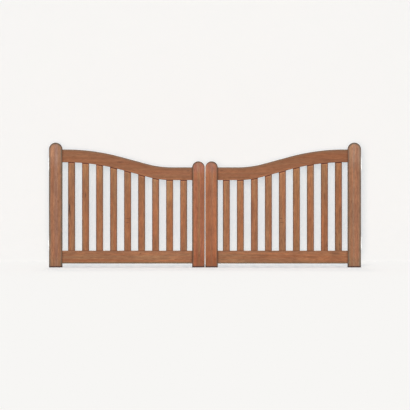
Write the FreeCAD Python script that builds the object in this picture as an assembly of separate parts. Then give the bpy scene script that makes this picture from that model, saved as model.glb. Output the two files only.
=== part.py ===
import FreeCAD
import Part
import math
import os

# A pair of hardwood garden gate leaves, hung on butt hinges and held by drop bolts.
# Millimetres. X runs along the width, with zero at the middle of the slit between the leaves.
# The front faces -Y, Z is up, and zero height is at the foot of the stiles.
# Y is zero at the middle of the whole depth, from the stiles' front to the end of the bolt knobs.
# The left leaf is drawn in place, and the right leaf is its mirror image.

# The pair
pair_width = 2500.0
centre_gap = 6.0

# Stiles
hinge_stile_width = 105.0
hinge_stile_height = 1000.0
meeting_stile_width = 100.0
meeting_stile_height = 850.0
stile_thickness = 45.0
stile_edge_round = 4.0

# Rails, set back a little from both faces of the stiles
rail_thickness = 36.0
rail_edge_round = 3.0
bottom_rail_height = 103.0
bottom_rail_lift = 31.0
top_rail_depth = 102.0

# How far each stile stands above the top rail
hinge_stile_horn = 55.0
meeting_stile_horn = 48.0

# The wave in the top rail: level, crown, straight slope, hollow, level.
# The crown takes up what the other runs leave of the opening between the stiles.
high_level_run = 32.0
slope_run = 220.0
hollow_run = 198.0
low_level_run = 162.0

# Slats
slat_count = 9
slat_width = 56.0
slat_thickness = 20.0
slat_edge_round = 2.5
first_slat_gap = 46.4
last_slat_gap = 40.4
slat_housing = 14.0

# Mortise and tenon joints, each held by two pegs driven from the back
tenon_thickness = 12.0
tenon_length = 60.0
tenon_shoulder = 15.0
mortise_clearance = 0.2
mortise_end_gap = 1.0
peg_radius = 5.0
peg_clearance = 0.05
peg_inset = 22.0
peg_spacing = 40.0
peg_front_cover = 7.0

# Running clearance of the hinge pins, and of the knob stems in their holes
shaft_clearance = 0.05

# Butt hinges, two on each leaf
upper_hinge_below_top = 170.0
lower_hinge_height = 190.0
hinge_length = 100.0
hinge_plate_thickness = 3.0
hinge_plate_reach = 32.0
hinge_plate_gap = 1.0
hinge_barrel_radius = 6.0
hinge_barrel_standoff = 0.5
hinge_pin_radius = 3.5
hinge_pin_head_radius = 5.0
hinge_pin_head_thickness = 2.5
knuckle_count = 5
knuckle_gap = 0.3
hinge_recess_clearance = 0.3
hinge_hole_spacing_across = 16.0
gate_plate_hole_spacing_up = 60.0
post_plate_hole_spacing_up = 76.0
hinge_screw_bite = 27.0

# Countersunk wood screws, alike in the hinges and the drop bolts
screw_shank_radius = 2.2
screw_head_radius = 4.2
screw_tip_length = 5.0
screw_slot_length = 5.0
screw_slot_width = 1.0
screw_slot_depth = 1.0
screw_hole_clearance = 0.3
screw_head_clearance = 0.1
pilot_clearance = 0.05

# Drop bolts, one on the back of each meeting stile
bolt_plate_width = 38.0
bolt_plate_thickness = 3.0
bolt_plate_foot = 36.0
bolt_plate_margin = 8.0
guide_length = 16.0
guide_wall = 4.0
guide_clearance = 0.1
rod_radius = 6.0
rod_standoff = 2.0
rod_foot = 12.0
rod_top_margin = 6.0
rod_chamfer = 1.5
rod_travel = 75.0
knob_stop_clearance = 1.0
knob_radius = 8.0
knob_neck_radius = 4.5
knob_neck_length = 3.0
knob_flare_length = 10.0
knob_band_length = 6.0
knob_dome_height = 3.0
knob_seat_depth = 1.5
knob_seat_clearance = 0.3
knob_stem_radius = 3.0
knob_stem_length = 7.0
bolt_screw_offset = 13.0
bolt_screw_from_guide = 12.0
bolt_screw_to_tenon = 2.0

# How far apart two values may be and still count as the same place
same_place = 1e-6

# How often the span that holds the wave's slope is halved
halvings = 60

# Places that follow from the sizes
leaf_width = (pair_width - centre_gap) / 2
outer_x = -pair_width / 2
inner_x = outer_x + leaf_width
opening_left_x = outer_x + hinge_stile_width
opening_right_x = inner_x - meeting_stile_width
opening_width = opening_right_x - opening_left_x
meeting_stile_mid_x = inner_x - meeting_stile_width / 2

rod_from_back = bolt_plate_thickness + rod_standoff + rod_radius
knob_length = knob_neck_length + knob_flare_length + knob_band_length + knob_dome_height
bolt_reach = rod_from_back + rod_radius - knob_seat_depth + knob_length
hinge_reach = hinge_barrel_standoff + 2 * hinge_barrel_radius
stile_front_y = -(stile_thickness + max(bolt_reach, hinge_reach)) / 2
stile_back_y = stile_front_y + stile_thickness
stile_mid_y = stile_front_y + stile_thickness / 2
rail_front_y = stile_mid_y - rail_thickness / 2
rod_y = stile_back_y + rod_from_back
hinge_axis_x = outer_x - hinge_plate_gap / 2
hinge_axis_y = stile_back_y + hinge_barrel_standoff + hinge_barrel_radius

bottom_rail_top = bottom_rail_lift + bottom_rail_height
top_rail_high = hinge_stile_height - hinge_stile_horn
top_rail_low = meeting_stile_height - meeting_stile_horn
upper_hinge_height = hinge_stile_height - upper_hinge_below_top
post_knuckles = range(0, knuckle_count, 2)
gate_knuckles = range(1, knuckle_count, 2)
screw_head_depth = screw_head_radius - screw_shank_radius
knob_window = rod_travel + 2 * knob_radius + 2 * knob_stop_clearance
lower_guide_foot = bolt_plate_foot + bolt_plate_margin
upper_guide_foot = lower_guide_foot + guide_length + knob_window
bolt_plate_top = upper_guide_foot + guide_length + bolt_plate_margin
knob_height = upper_guide_foot - knob_stop_clearance - knob_radius
rod_top = upper_guide_foot + guide_length + rod_top_margin + rod_travel


def vector(x, y, z):
    """A point or a direction."""
    return FreeCAD.Vector(x, y, z)


def block(x_span, y_span, z_span):
    """A box between a low and a high value along each axis."""
    spans = (x_span, y_span, z_span)
    sizes = [high - low for low, high in spans]
    corner = vector(*[low for low, high in spans])
    return Part.makeBox(*sizes, corner)


def cylinder(radius, start, direction, length):
    """A cylinder from the middle of one end, along a direction."""
    return Part.makeCylinder(radius, length, start, direction)


def joined(pieces):
    """One solid out of pieces that touch or overlap."""
    return pieces[0].fuse(pieces[1:]).removeSplitter()


def group(pieces):
    """Separate solids kept together in one sub-part."""
    return Part.makeCompound(pieces)


def lies_in_face(edge, y):
    """Whether an edge lies in the plane at one y."""
    bounds = edge.BoundBox
    return abs(bounds.YMin - y) < same_place and abs(bounds.YMax - y) < same_place


def runs_upright_at(edge, x):
    """Whether an edge is an upright line at one x."""
    bounds = edge.BoundBox
    return abs(bounds.XMin - x) < same_place and abs(bounds.XMax - x) < same_place


def wave_drop(half_tangent, arc_run, line_run):
    """How far a wave falls, from the tangent of half its steepest slope."""
    slope = 2 * half_tangent / (1 - half_tangent**2)
    return arc_run * half_tangent + line_run * slope


def wave_half_tangent(drop, arc_run, line_run):
    """The tangent of half the slope that gives the wanted drop, found by halving a span."""
    low = 0.0
    high = 1.0
    for _ in range(halvings):
        middle = (low + high) / 2
        if wave_drop(middle, arc_run, line_run) < drop:
            low = middle
        else:
            high = middle
    return (low + high) / 2


class Wave:
    """The top edge of the top rail: level, crown, slope, hollow and level, all tangent."""

    def __init__(self):
        crown_run = opening_width - high_level_run - slope_run - hollow_run - low_level_run
        drop = top_rail_high - top_rail_low
        half_tangent = wave_half_tangent(drop, crown_run + hollow_run, slope_run)
        self.angle = 2 * math.atan(half_tangent)
        self.crown_radius = crown_run / math.sin(self.angle)
        self.hollow_radius = hollow_run / math.sin(self.angle)
        self.crown_start = opening_left_x + high_level_run
        self.crown_end = self.crown_start + crown_run
        self.hollow_start = self.crown_end + slope_run
        self.hollow_end = self.hollow_start + hollow_run

    def height(self, x):
        """Height of the rail's top edge at one x."""
        if x <= self.crown_start:
            return top_rail_high
        if x <= self.crown_end:
            along = x - self.crown_start
            return top_rail_high - self.crown_radius + math.sqrt(self.crown_radius**2 - along**2)
        if x <= self.hollow_start:
            return self.height(self.crown_end) - (x - self.crown_end) * math.tan(self.angle)
        if x <= self.hollow_end:
            along = self.hollow_end - x
            return top_rail_low + self.hollow_radius - math.sqrt(self.hollow_radius**2 - along**2)
        return top_rail_low

    def edges(self, y, lowered):
        """The five edges of the line at one y, lowered by a distance, from left to right."""

        def point(x):
            return vector(x, y, self.height(x) - lowered)

        crown_middle = point((self.crown_start + self.crown_end) / 2)
        hollow_middle = point((self.hollow_start + self.hollow_end) / 2)
        curves = [
            Part.LineSegment(point(opening_left_x), point(self.crown_start)),
            Part.Arc(point(self.crown_start), crown_middle, point(self.crown_end)),
            Part.LineSegment(point(self.crown_end), point(self.hollow_start)),
            Part.Arc(point(self.hollow_start), hollow_middle, point(self.hollow_end)),
            Part.LineSegment(point(self.hollow_end), point(opening_right_x)),
        ]
        return [curve.toShape() for curve in curves]


wave = Wave()


def slat_left_x(index):
    """Left side of one slat, counted from the hinge stile."""
    left_x = opening_left_x + first_slat_gap
    right_x = opening_right_x - last_slat_gap - slat_width
    return left_x + index * (right_x - left_x) / (slat_count - 1)


def slat_foot():
    """Height of the slats' lower ends, which stand on the floors of their mortises."""
    return bottom_rail_top - slat_housing


def slat_head(index):
    """Height of one slat's upper end, housed above the highest point of the rail over it."""
    left_x = slat_left_x(index)
    return wave.height(left_x) - top_rail_depth + slat_housing


def tenon(shoulder_x, direction, rail_foot, rail_height, clearance, end_gap):
    """A rail's tenon, or with a clearance and an end gap, the mortise that takes it."""
    far_x = shoulder_x + direction * (tenon_length + end_gap)
    half_thickness = tenon_thickness / 2 + clearance
    return block(
        (min(shoulder_x, far_x), max(shoulder_x, far_x)),
        (stile_mid_y - half_thickness, stile_mid_y + half_thickness),
        (
            rail_foot + tenon_shoulder - clearance,
            rail_foot + rail_height - tenon_shoulder + clearance,
        ),
    )


def peg_row(shoulder_x, direction, rail_foot, rail_height, clearance):
    """The two pegs through one tenon, or with a clearance, their holes."""
    x = shoulder_x + direction * peg_inset
    middle = rail_foot + rail_height / 2
    length = stile_thickness - peg_front_cover
    heights = (middle - peg_spacing / 2, middle + peg_spacing / 2)
    return [
        cylinder(peg_radius + clearance, vector(x, stile_back_y, z), vector(0, -1, 0), length)
        for z in heights
    ]


# Each rail end: where its shoulder is, which way its tenon points, and the rail's foot and height
hinge_side_joints = [
    (opening_left_x, -1, bottom_rail_lift, bottom_rail_height),
    (opening_left_x, -1, top_rail_high - top_rail_depth, top_rail_depth),
]
meeting_side_joints = [
    (opening_right_x, 1, bottom_rail_lift, bottom_rail_height),
    (opening_right_x, 1, top_rail_low - top_rail_depth, top_rail_depth),
]


def joint_cuts(joints):
    """Mortises and peg holes of the rails that meet one stile."""
    cuts = []
    for joint in joints:
        cuts.append(tenon(*joint, mortise_clearance, mortise_end_gap))
        cuts += peg_row(*joint, peg_clearance)
    return cuts


def stile(left_x, width, height):
    """An upright with a half-round top and eased arrises on both faces."""
    right_x = left_x + width
    middle_x = left_x + width / 2
    shoulder = height - width / 2

    def point(x, z):
        return vector(x, stile_front_y, z)

    outline = [
        Part.LineSegment(point(left_x, 0), point(right_x, 0)),
        Part.LineSegment(point(right_x, 0), point(right_x, shoulder)),
        Part.Arc(point(right_x, shoulder), point(middle_x, height), point(left_x, shoulder)),
        Part.LineSegment(point(left_x, shoulder), point(left_x, 0)),
    ]
    face = Part.Face(Part.Wire([curve.toShape() for curve in outline]))
    board = face.extrude(vector(0, stile_thickness, 0))
    arrises = [
        edge
        for edge in board.Edges
        if lies_in_face(edge, stile_front_y) or lies_in_face(edge, stile_back_y)
    ]
    return board.makeFillet(stile_edge_round, arrises)


def eased_rail(board, front_y):
    """A rail with its long arrises eased, and its ends left square for the shoulders."""
    back_y = front_y + rail_thickness
    arrises = [
        edge
        for edge in board.Edges
        if (lies_in_face(edge, front_y) or lies_in_face(edge, back_y))
        and not runs_upright_at(edge, opening_left_x)
        and not runs_upright_at(edge, opening_right_x)
    ]
    return board.makeFillet(rail_edge_round, arrises)


def slat_mortise(index, foot, head):
    """The hole in a rail that takes the end of one slat."""
    left_x = slat_left_x(index)
    half_thickness = slat_thickness / 2 + mortise_clearance
    return block(
        (left_x - mortise_clearance, left_x + slat_width + mortise_clearance),
        (stile_mid_y - half_thickness, stile_mid_y + half_thickness),
        (foot, head),
    )


def bottom_rail():
    """The lower rail: square, with a tenon at each end and a mortise for each slat."""
    board = block(
        (opening_left_x, opening_right_x),
        (rail_front_y, rail_front_y + rail_thickness),
        (bottom_rail_lift, bottom_rail_top),
    )
    joints = (hinge_side_joints[0], meeting_side_joints[0])
    tenons = [tenon(*joint, 0, 0) for joint in joints]
    holes = [hole for joint in joints for hole in peg_row(*joint, peg_clearance)]
    over_rail = bottom_rail_top + mortise_end_gap
    mortises = [slat_mortise(i, slat_foot(), over_rail) for i in range(slat_count)]
    return joined([eased_rail(board, rail_front_y), *tenons]).cut(holes + mortises)


def top_rail():
    """The upper rail, sawn to a wave, with a tenon at each end and a mortise for each slat."""
    upper = wave.edges(rail_front_y, 0)
    lower = wave.edges(rail_front_y, top_rail_depth)
    left_end = Part.LineSegment(lower[0].Vertexes[0].Point, upper[0].Vertexes[0].Point)
    right_end = Part.LineSegment(upper[-1].Vertexes[1].Point, lower[-1].Vertexes[1].Point)
    outline = [left_end.toShape(), *upper, right_end.toShape(), *reversed(lower)]
    board = Part.Face(Part.Wire(outline)).extrude(vector(0, rail_thickness, 0))
    joints = (hinge_side_joints[1], meeting_side_joints[1])
    tenons = [tenon(*joint, 0, 0) for joint in joints]
    holes = [hole for joint in joints for hole in peg_row(*joint, peg_clearance)]
    mortises = [
        slat_mortise(i, bottom_rail_top, slat_head(i) + mortise_end_gap) for i in range(slat_count)
    ]
    return joined([eased_rail(board, rail_front_y), *tenons]).cut(holes + mortises)


def slat(index):
    """One upright slat, with its long arrises eased."""
    left_x = slat_left_x(index)
    board = block(
        (left_x, left_x + slat_width),
        (stile_mid_y - slat_thickness / 2, stile_mid_y + slat_thickness / 2),
        (slat_foot(), slat_head(index)),
    )
    arrises = [edge for edge in board.Edges if edge.BoundBox.ZLength > slat_width]
    return board.makeFillet(slat_edge_round, arrises)


def screw(head, direction, bite):
    """A countersunk wood screw from the middle of its head, with a cross slot and a point."""
    shank_length = bite - screw_tip_length
    cone = Part.makeCone(screw_head_radius, screw_shank_radius, screw_head_depth, head, direction)
    shank = cylinder(screw_shank_radius, head, direction, shank_length)
    tip_start = head + direction * shank_length
    tip = Part.makeCone(screw_shank_radius, 0, screw_tip_length, tip_start, direction)
    half_length = screw_slot_length / 2
    half_width = screw_slot_width / 2
    across = abs(direction.x) > abs(direction.y)
    deep = screw_slot_depth
    slots = []
    for side, up in ((half_length, half_width), (half_width, half_length)):
        if across:
            slots.append(
                block(
                    (head.x - deep, head.x + deep),
                    (head.y - side, head.y + side),
                    (head.z - up, head.z + up),
                )
            )
        else:
            slots.append(
                block(
                    (head.x - side, head.x + side),
                    (head.y - deep, head.y + deep),
                    (head.z - up, head.z + up),
                )
            )
    return joined([cone, shank, tip]).cut(slots)


def countersunk_hole(head, direction, plate_thickness):
    """The hole in a plate for a screw whose head lies flush with the plate."""
    hole_radius = screw_shank_radius + screw_hole_clearance
    rim_radius = screw_head_radius + screw_head_clearance
    cone = Part.makeCone(rim_radius, hole_radius, rim_radius - hole_radius, head, direction)
    return cone.fuse(cylinder(hole_radius, head, direction, plate_thickness))


def pilot_hole(head, direction, bite):
    """The hole in the wood that a screw fills, a little larger than the screw."""
    shank_length = bite - screw_tip_length
    radius = screw_shank_radius + pilot_clearance
    shank = cylinder(radius, head, direction, shank_length)
    tip_start = head + direction * shank_length
    tip_length = screw_tip_length + pilot_clearance
    return shank.fuse(Part.makeCone(radius, 0, tip_length, tip_start, direction))


def hinge_screw_heads(plane_x, middle_z, spacing_up):
    """The middles of the four screw heads of one hinge plate."""
    middle_y = stile_back_y - hinge_plate_reach / 2
    return [
        vector(
            plane_x,
            middle_y + side * hinge_hole_spacing_across / 2,
            middle_z + up * spacing_up / 2,
        )
        for side in (-1, 1)
        for up in (-1, 1)
    ]


def gate_screw_heads(middle_z):
    """The middles of the four screw heads of the plate on the stile.

    Their rows lie between those of the post's plate, so that no two heads meet when shut.
    """
    return hinge_screw_heads(outer_x, middle_z, gate_plate_hole_spacing_up)


def knuckle_span(index, middle_z):
    """Lowest and highest point of one knuckle. The end knuckles reach the ends of the plates."""
    pitch = hinge_length / knuckle_count
    foot = middle_z - hinge_length / 2 + index * pitch
    foot_gap = 0 if index == 0 else knuckle_gap / 2
    head_gap = 0 if index == knuckle_count - 1 else knuckle_gap / 2
    return (foot + foot_gap, foot + pitch - head_gap)


def hinge_plate(near_x, far_x, middle_z, own_knuckles, other_knuckles):
    """A flat plate with its knuckles rolled round the pin, and gaps for the other plate's."""
    plate = block(
        (near_x, far_x),
        (stile_back_y - hinge_plate_reach, hinge_axis_y),
        (middle_z - hinge_length / 2, middle_z + hinge_length / 2),
    )
    gaps = []
    for index in other_knuckles:
        low, high = knuckle_span(index, middle_z)
        gap_foot = hinge_axis_y - hinge_barrel_radius - hinge_barrel_standoff
        gaps.append(
            block(
                (near_x, far_x),
                (gap_foot, hinge_axis_y),
                (low - knuckle_gap, high + knuckle_gap),
            )
        )
    knuckles = []
    for index in own_knuckles:
        low, high = knuckle_span(index, middle_z)
        start = vector(hinge_axis_x, hinge_axis_y, low)
        knuckles.append(cylinder(hinge_barrel_radius, start, vector(0, 0, 1), high - low))
    bore = cylinder(
        hinge_pin_radius + shaft_clearance,
        vector(hinge_axis_x, hinge_axis_y, middle_z - hinge_length),
        vector(0, 0, 1),
        2 * hinge_length,
    )
    return joined([plate.cut(gaps), *knuckles]).cut(bore)


def gate_plate(middle_z):
    """The hinge plate let into the edge of the hinge stile."""
    far_x = outer_x + hinge_plate_thickness
    plate = hinge_plate(outer_x, far_x, middle_z, gate_knuckles, post_knuckles)
    holes = [
        countersunk_hole(head, vector(1, 0, 0), hinge_plate_thickness)
        for head in gate_screw_heads(middle_z)
    ]
    return plate.cut(holes)


def post_plate(middle_z):
    """The hinge plate that is screwed to a post, with its countersinks towards the leaf."""
    near_x = outer_x - hinge_plate_gap
    far_x = near_x - hinge_plate_thickness
    plate = hinge_plate(far_x, near_x, middle_z, post_knuckles, gate_knuckles)
    holes = [
        countersunk_hole(head, vector(-1, 0, 0), hinge_plate_thickness)
        for head in hinge_screw_heads(near_x, middle_z, post_plate_hole_spacing_up)
    ]
    return plate.cut(holes)


def hinge_pin(middle_z):
    """The pin, with a head above the top knuckle and one below the bottom knuckle."""
    top = knuckle_span(knuckle_count - 1, middle_z)[1]
    foot = knuckle_span(0, middle_z)[0]
    up = vector(0, 0, 1)
    foot_head = vector(hinge_axis_x, hinge_axis_y, foot - hinge_pin_head_thickness)
    return joined(
        [
            cylinder(hinge_pin_radius, vector(hinge_axis_x, hinge_axis_y, foot), up, top - foot),
            cylinder(
                hinge_pin_head_radius,
                vector(hinge_axis_x, hinge_axis_y, top),
                up,
                hinge_pin_head_thickness,
            ),
            cylinder(hinge_pin_head_radius, foot_head, up, hinge_pin_head_thickness),
        ]
    )


def hinge_screws(middle_z):
    """The four screws that hold one hinge plate to the stile."""
    bite = hinge_plate_thickness + hinge_screw_bite
    return group([screw(head, vector(1, 0, 0), bite) for head in gate_screw_heads(middle_z)])


def hinge_stile():
    """The tall stile, with the rails' mortises and the hinges' recesses."""
    board = stile(outer_x, hinge_stile_width, hinge_stile_height)
    cuts = joint_cuts(hinge_side_joints)
    for middle_z in (upper_hinge_height, lower_hinge_height):
        half_length = hinge_length / 2 + hinge_recess_clearance
        cuts.append(
            block(
                (outer_x, outer_x + hinge_plate_thickness),
                (stile_back_y - hinge_plate_reach - hinge_recess_clearance, stile_back_y),
                (middle_z - half_length, middle_z + half_length),
            )
        )
        bite = hinge_plate_thickness + hinge_screw_bite
        cuts += [
            pilot_hole(head, vector(1, 0, 0), bite) for head in gate_screw_heads(middle_z)
        ]
    return board.cut(cuts)


def bolt_screw_heads():
    """The middles of the four screw heads of a bolt's plate."""
    face_y = stile_back_y + bolt_plate_thickness
    low_z = lower_guide_foot + guide_length + bolt_screw_from_guide
    high_z = upper_guide_foot - bolt_screw_from_guide
    return [
        vector(meeting_stile_mid_x + side * bolt_screw_offset, face_y, z)
        for side in (-1, 1)
        for z in (low_z, high_z)
    ]


def bolt_screw_bite():
    """Length of a bolt screw, which stops short of the rail's tenon."""
    wood_over_tenon = (stile_thickness - tenon_thickness) / 2
    return bolt_plate_thickness + wood_over_tenon - bolt_screw_to_tenon


def bolt_screws():
    """The four screws that hold a bolt's plate."""
    return group(
        [screw(head, vector(0, -1, 0), bolt_screw_bite()) for head in bolt_screw_heads()]
    )


def meeting_stile():
    """The short stile beside the slit, with the rails' mortises and the bolt's pilot holes."""
    board = stile(opening_right_x, meeting_stile_width, meeting_stile_height)
    pilots = [
        pilot_hole(head, vector(0, -1, 0), bolt_screw_bite()) for head in bolt_screw_heads()
    ]
    return board.cut(joint_cuts(meeting_side_joints) + pilots)


def tenon_pegs():
    """The eight pegs that hold the rails' tenons."""
    joints = hinge_side_joints + meeting_side_joints
    return group([peg for joint in joints for peg in peg_row(*joint, 0)])


def bolt_plate():
    """The back plate of a drop bolt, with two guides that the rod slides in."""
    half_width = bolt_plate_width / 2
    plate = block(
        (meeting_stile_mid_x - half_width, meeting_stile_mid_x + half_width),
        (stile_back_y, stile_back_y + bolt_plate_thickness),
        (bolt_plate_foot, bolt_plate_top),
    )
    outer_radius = rod_radius + guide_wall
    pieces = [plate]
    for foot in (lower_guide_foot, upper_guide_foot):
        middle = vector(meeting_stile_mid_x, rod_y, foot)
        pieces.append(cylinder(outer_radius, middle, vector(0, 0, 1), guide_length))
        pieces.append(
            block(
                (meeting_stile_mid_x - outer_radius, meeting_stile_mid_x + outer_radius),
                (stile_back_y + bolt_plate_thickness, rod_y),
                (foot, foot + guide_length),
            )
        )
    bore_start = vector(meeting_stile_mid_x, rod_y, bolt_plate_foot)
    bore_length = bolt_plate_top - bolt_plate_foot
    bore = cylinder(rod_radius + guide_clearance, bore_start, vector(0, 0, 1), bore_length)
    holes = [
        countersunk_hole(head, vector(0, -1, 0), bolt_plate_thickness)
        for head in bolt_screw_heads()
    ]
    return joined(pieces).cut([bore, *holes])


def bolt_rod():
    """The sliding rod of a drop bolt, chamfered at both ends, with a flat seat for the knob."""
    start = vector(meeting_stile_mid_x, rod_y, rod_foot)
    bar = cylinder(rod_radius, start, vector(0, 0, 1), rod_top - rod_foot)
    rims = [edge for edge in bar.Edges if edge.BoundBox.ZLength < rod_chamfer]
    bar = bar.makeChamfer(rod_chamfer, rims)
    seat_y = rod_y + rod_radius - knob_seat_depth
    seat_middle = vector(meeting_stile_mid_x, seat_y, knob_height)
    seat_radius = knob_neck_radius + knob_seat_clearance
    seat = cylinder(seat_radius, seat_middle, vector(0, 1, 0), rod_radius)
    hole_radius = knob_stem_radius + shaft_clearance
    stem_hole = cylinder(hole_radius, seat_middle, vector(0, -1, 0), knob_stem_length)
    return bar.cut([seat, stem_hole])


def bolt_knob():
    """The turned knob, with a stem that fills the hole in the rod."""
    seat_y = rod_y + rod_radius - knob_seat_depth
    flare_start = knob_neck_length
    band_start = flare_start + knob_flare_length
    dome_start = band_start + knob_band_length
    dome_radius = (knob_radius**2 + knob_dome_height**2) / (2 * knob_dome_height)
    dome_half_turn = math.asin(knob_radius / dome_radius) / 2
    dome_middle_radius = dome_radius * math.sin(dome_half_turn)
    dome_middle_along = knob_length - dome_radius * (1 - math.cos(dome_half_turn))

    def point(radius, along):
        return vector(meeting_stile_mid_x + radius, seat_y + along, knob_height)

    profile = [
        Part.LineSegment(point(0, -knob_stem_length), point(knob_stem_radius, -knob_stem_length)),
        Part.LineSegment(point(knob_stem_radius, -knob_stem_length), point(knob_stem_radius, 0)),
        Part.LineSegment(point(knob_stem_radius, 0), point(knob_neck_radius, 0)),
        Part.LineSegment(point(knob_neck_radius, 0), point(knob_neck_radius, flare_start)),
        Part.LineSegment(point(knob_neck_radius, flare_start), point(knob_radius, band_start)),
        Part.LineSegment(point(knob_radius, band_start), point(knob_radius, dome_start)),
        Part.Arc(
            point(knob_radius, dome_start),
            point(dome_middle_radius, dome_middle_along),
            point(0, knob_length),
        ),
        Part.LineSegment(point(0, knob_length), point(0, -knob_stem_length)),
    ]
    face = Part.Face(Part.Wire([curve.toShape() for curve in profile]))
    return face.revolve(vector(meeting_stile_mid_x, seat_y, knob_height), vector(0, 1, 0), 360)


def leaf_pieces():
    """Every sub-part of the left leaf and its fittings, by name."""
    pieces = {
        "hinge_stile": hinge_stile(),
        "meeting_stile": meeting_stile(),
        "top_rail": top_rail(),
        "bottom_rail": bottom_rail(),
        "tenon_pegs": tenon_pegs(),
        "bolt_plate": bolt_plate(),
        "bolt_rod": bolt_rod(),
        "bolt_knob": bolt_knob(),
        "bolt_screws": bolt_screws(),
    }
    for index in range(slat_count):
        pieces[f"slat_{index + 1}"] = slat(index)
    for level, middle_z in (("upper", upper_hinge_height), ("lower", lower_hinge_height)):
        pieces[f"{level}_gate_plate"] = gate_plate(middle_z)
        pieces[f"{level}_post_plate"] = post_plate(middle_z)
        pieces[f"{level}_hinge_pin"] = hinge_pin(middle_z)
        pieces[f"{level}_hinge_screws"] = hinge_screws(middle_z)
    return pieces


os.makedirs("parts", exist_ok=True)
for name, shape in leaf_pieces().items():
    shape.exportStep(f"parts/left_{name}.step")
    mirrored = shape.mirror(vector(0, 0, 0), vector(1, 0, 0))
    mirrored.exportStep(f"parts/right_{name}.step")
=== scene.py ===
"""The looks of a pair of hardwood garden gate leaves, in metres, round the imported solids."""
import logging
import math
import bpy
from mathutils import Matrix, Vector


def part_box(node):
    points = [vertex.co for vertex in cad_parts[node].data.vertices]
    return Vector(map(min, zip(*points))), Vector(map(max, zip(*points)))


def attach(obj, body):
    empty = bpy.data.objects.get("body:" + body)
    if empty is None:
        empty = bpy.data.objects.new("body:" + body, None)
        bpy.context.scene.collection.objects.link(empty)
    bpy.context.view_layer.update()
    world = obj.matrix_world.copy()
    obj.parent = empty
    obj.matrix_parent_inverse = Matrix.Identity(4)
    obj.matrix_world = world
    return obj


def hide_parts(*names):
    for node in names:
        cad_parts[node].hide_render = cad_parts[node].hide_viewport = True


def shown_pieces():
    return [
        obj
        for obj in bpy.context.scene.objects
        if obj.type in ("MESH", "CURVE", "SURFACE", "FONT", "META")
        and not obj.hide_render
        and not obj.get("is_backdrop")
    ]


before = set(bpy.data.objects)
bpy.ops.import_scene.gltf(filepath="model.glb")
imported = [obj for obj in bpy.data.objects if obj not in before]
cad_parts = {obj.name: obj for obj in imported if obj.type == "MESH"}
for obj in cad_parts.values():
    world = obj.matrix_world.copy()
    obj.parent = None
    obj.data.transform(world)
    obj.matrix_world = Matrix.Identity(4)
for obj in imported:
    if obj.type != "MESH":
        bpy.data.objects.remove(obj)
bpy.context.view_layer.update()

import zlib
from collections.abc import Mapping, Sequence
from dataclasses import dataclass, replace
from enum import Enum

import bpy
import numpy as np
from mathutils import Vector

log = logging.getLogger("gate")

Triple = tuple[float, float, float]
Skin = tuple[np.ndarray, list]

# Faces that meet at less than this angle are shown as one round surface
SMOOTH_ANGLE = math.radians(35)
# How many heights of a wave a ramp holds, which takes 32 at most
RAMP_STOPS = 30


def linear(red: float, green: float, blue: float) -> Triple:
    """Turns a colour written as 0 to 255 into the shares of light that the shaders take.

    The screen's curve is a straight line for the darkest colours and a power of 2.4 above them.

    Args:
        red: red as it shows on a screen.
        green: green as it shows on a screen.
        blue: blue as it shows on a screen.

    Returns:
        The same colour, in which twice the number is twice the light.
    """
    bright = np.array([red, green, blue]) / 255
    return tuple(np.where(bright < 0.04045, bright / 12.92, ((bright + 0.055) / 1.055) ** 2.4).tolist())


def shaded(colour: Triple, change: Triple) -> Triple:
    """A colour with its red, green and blue each multiplied by a share."""
    return tuple((np.array(colour) * np.array(change)).tolist())


@dataclass(frozen=True)
class Value:
    """A number, a vector or a colour that changes over a surface.

    Fields:
        recipe: the tree that it is part of.
        socket: where it comes out of its node.
    """

    recipe: "Recipe"
    socket: bpy.types.NodeSocket

    def __add__(self, other: "Value | float") -> "Value":
        """Adds."""
        return self.recipe.math("ADD", self, other)

    def __sub__(self, other: "Value | float") -> "Value":
        """Takes the other from this."""
        return self.recipe.math("SUBTRACT", self, other)

    def __rsub__(self, other: float) -> "Value":
        """Takes this from a plain number."""
        return self.recipe.math("SUBTRACT", other, self)

    def __mul__(self, other: "Value | float") -> "Value":
        """Multiplies."""
        return self.recipe.math("MULTIPLY", self, other)

    def __truediv__(self, other: "Value | float") -> "Value":
        """Divides."""
        return self.recipe.math("DIVIDE", self, other)

    def __abs__(self) -> "Value":
        """The size without its sign."""
        return self.recipe.math("ABSOLUTE", self)

    __radd__ = __add__
    __rmul__ = __mul__

    def most(self, other: "Value | float") -> "Value":
        """The larger of the two."""
        return self.recipe.math("MAXIMUM", self, other)

    def rise(self, low: float, high: float) -> "Value":
        """0 up to low, 1 from high on, and an even curve between them."""
        inputs = {"Value": self, "From Min": low, "From Max": high}
        return self.recipe.value("ShaderNodeMapRange", inputs, interpolation_type="SMOOTHSTEP")

    def fall(self, low: float, high: float) -> "Value":
        """1 up to low, 0 from high on."""
        return 1.0 - self.rise(low, high)


# Shades to lay over a colour: how much of each there is, 0 to 1, and its share of the board's colour
Layers = Sequence[tuple[Value, Triple]]


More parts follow.
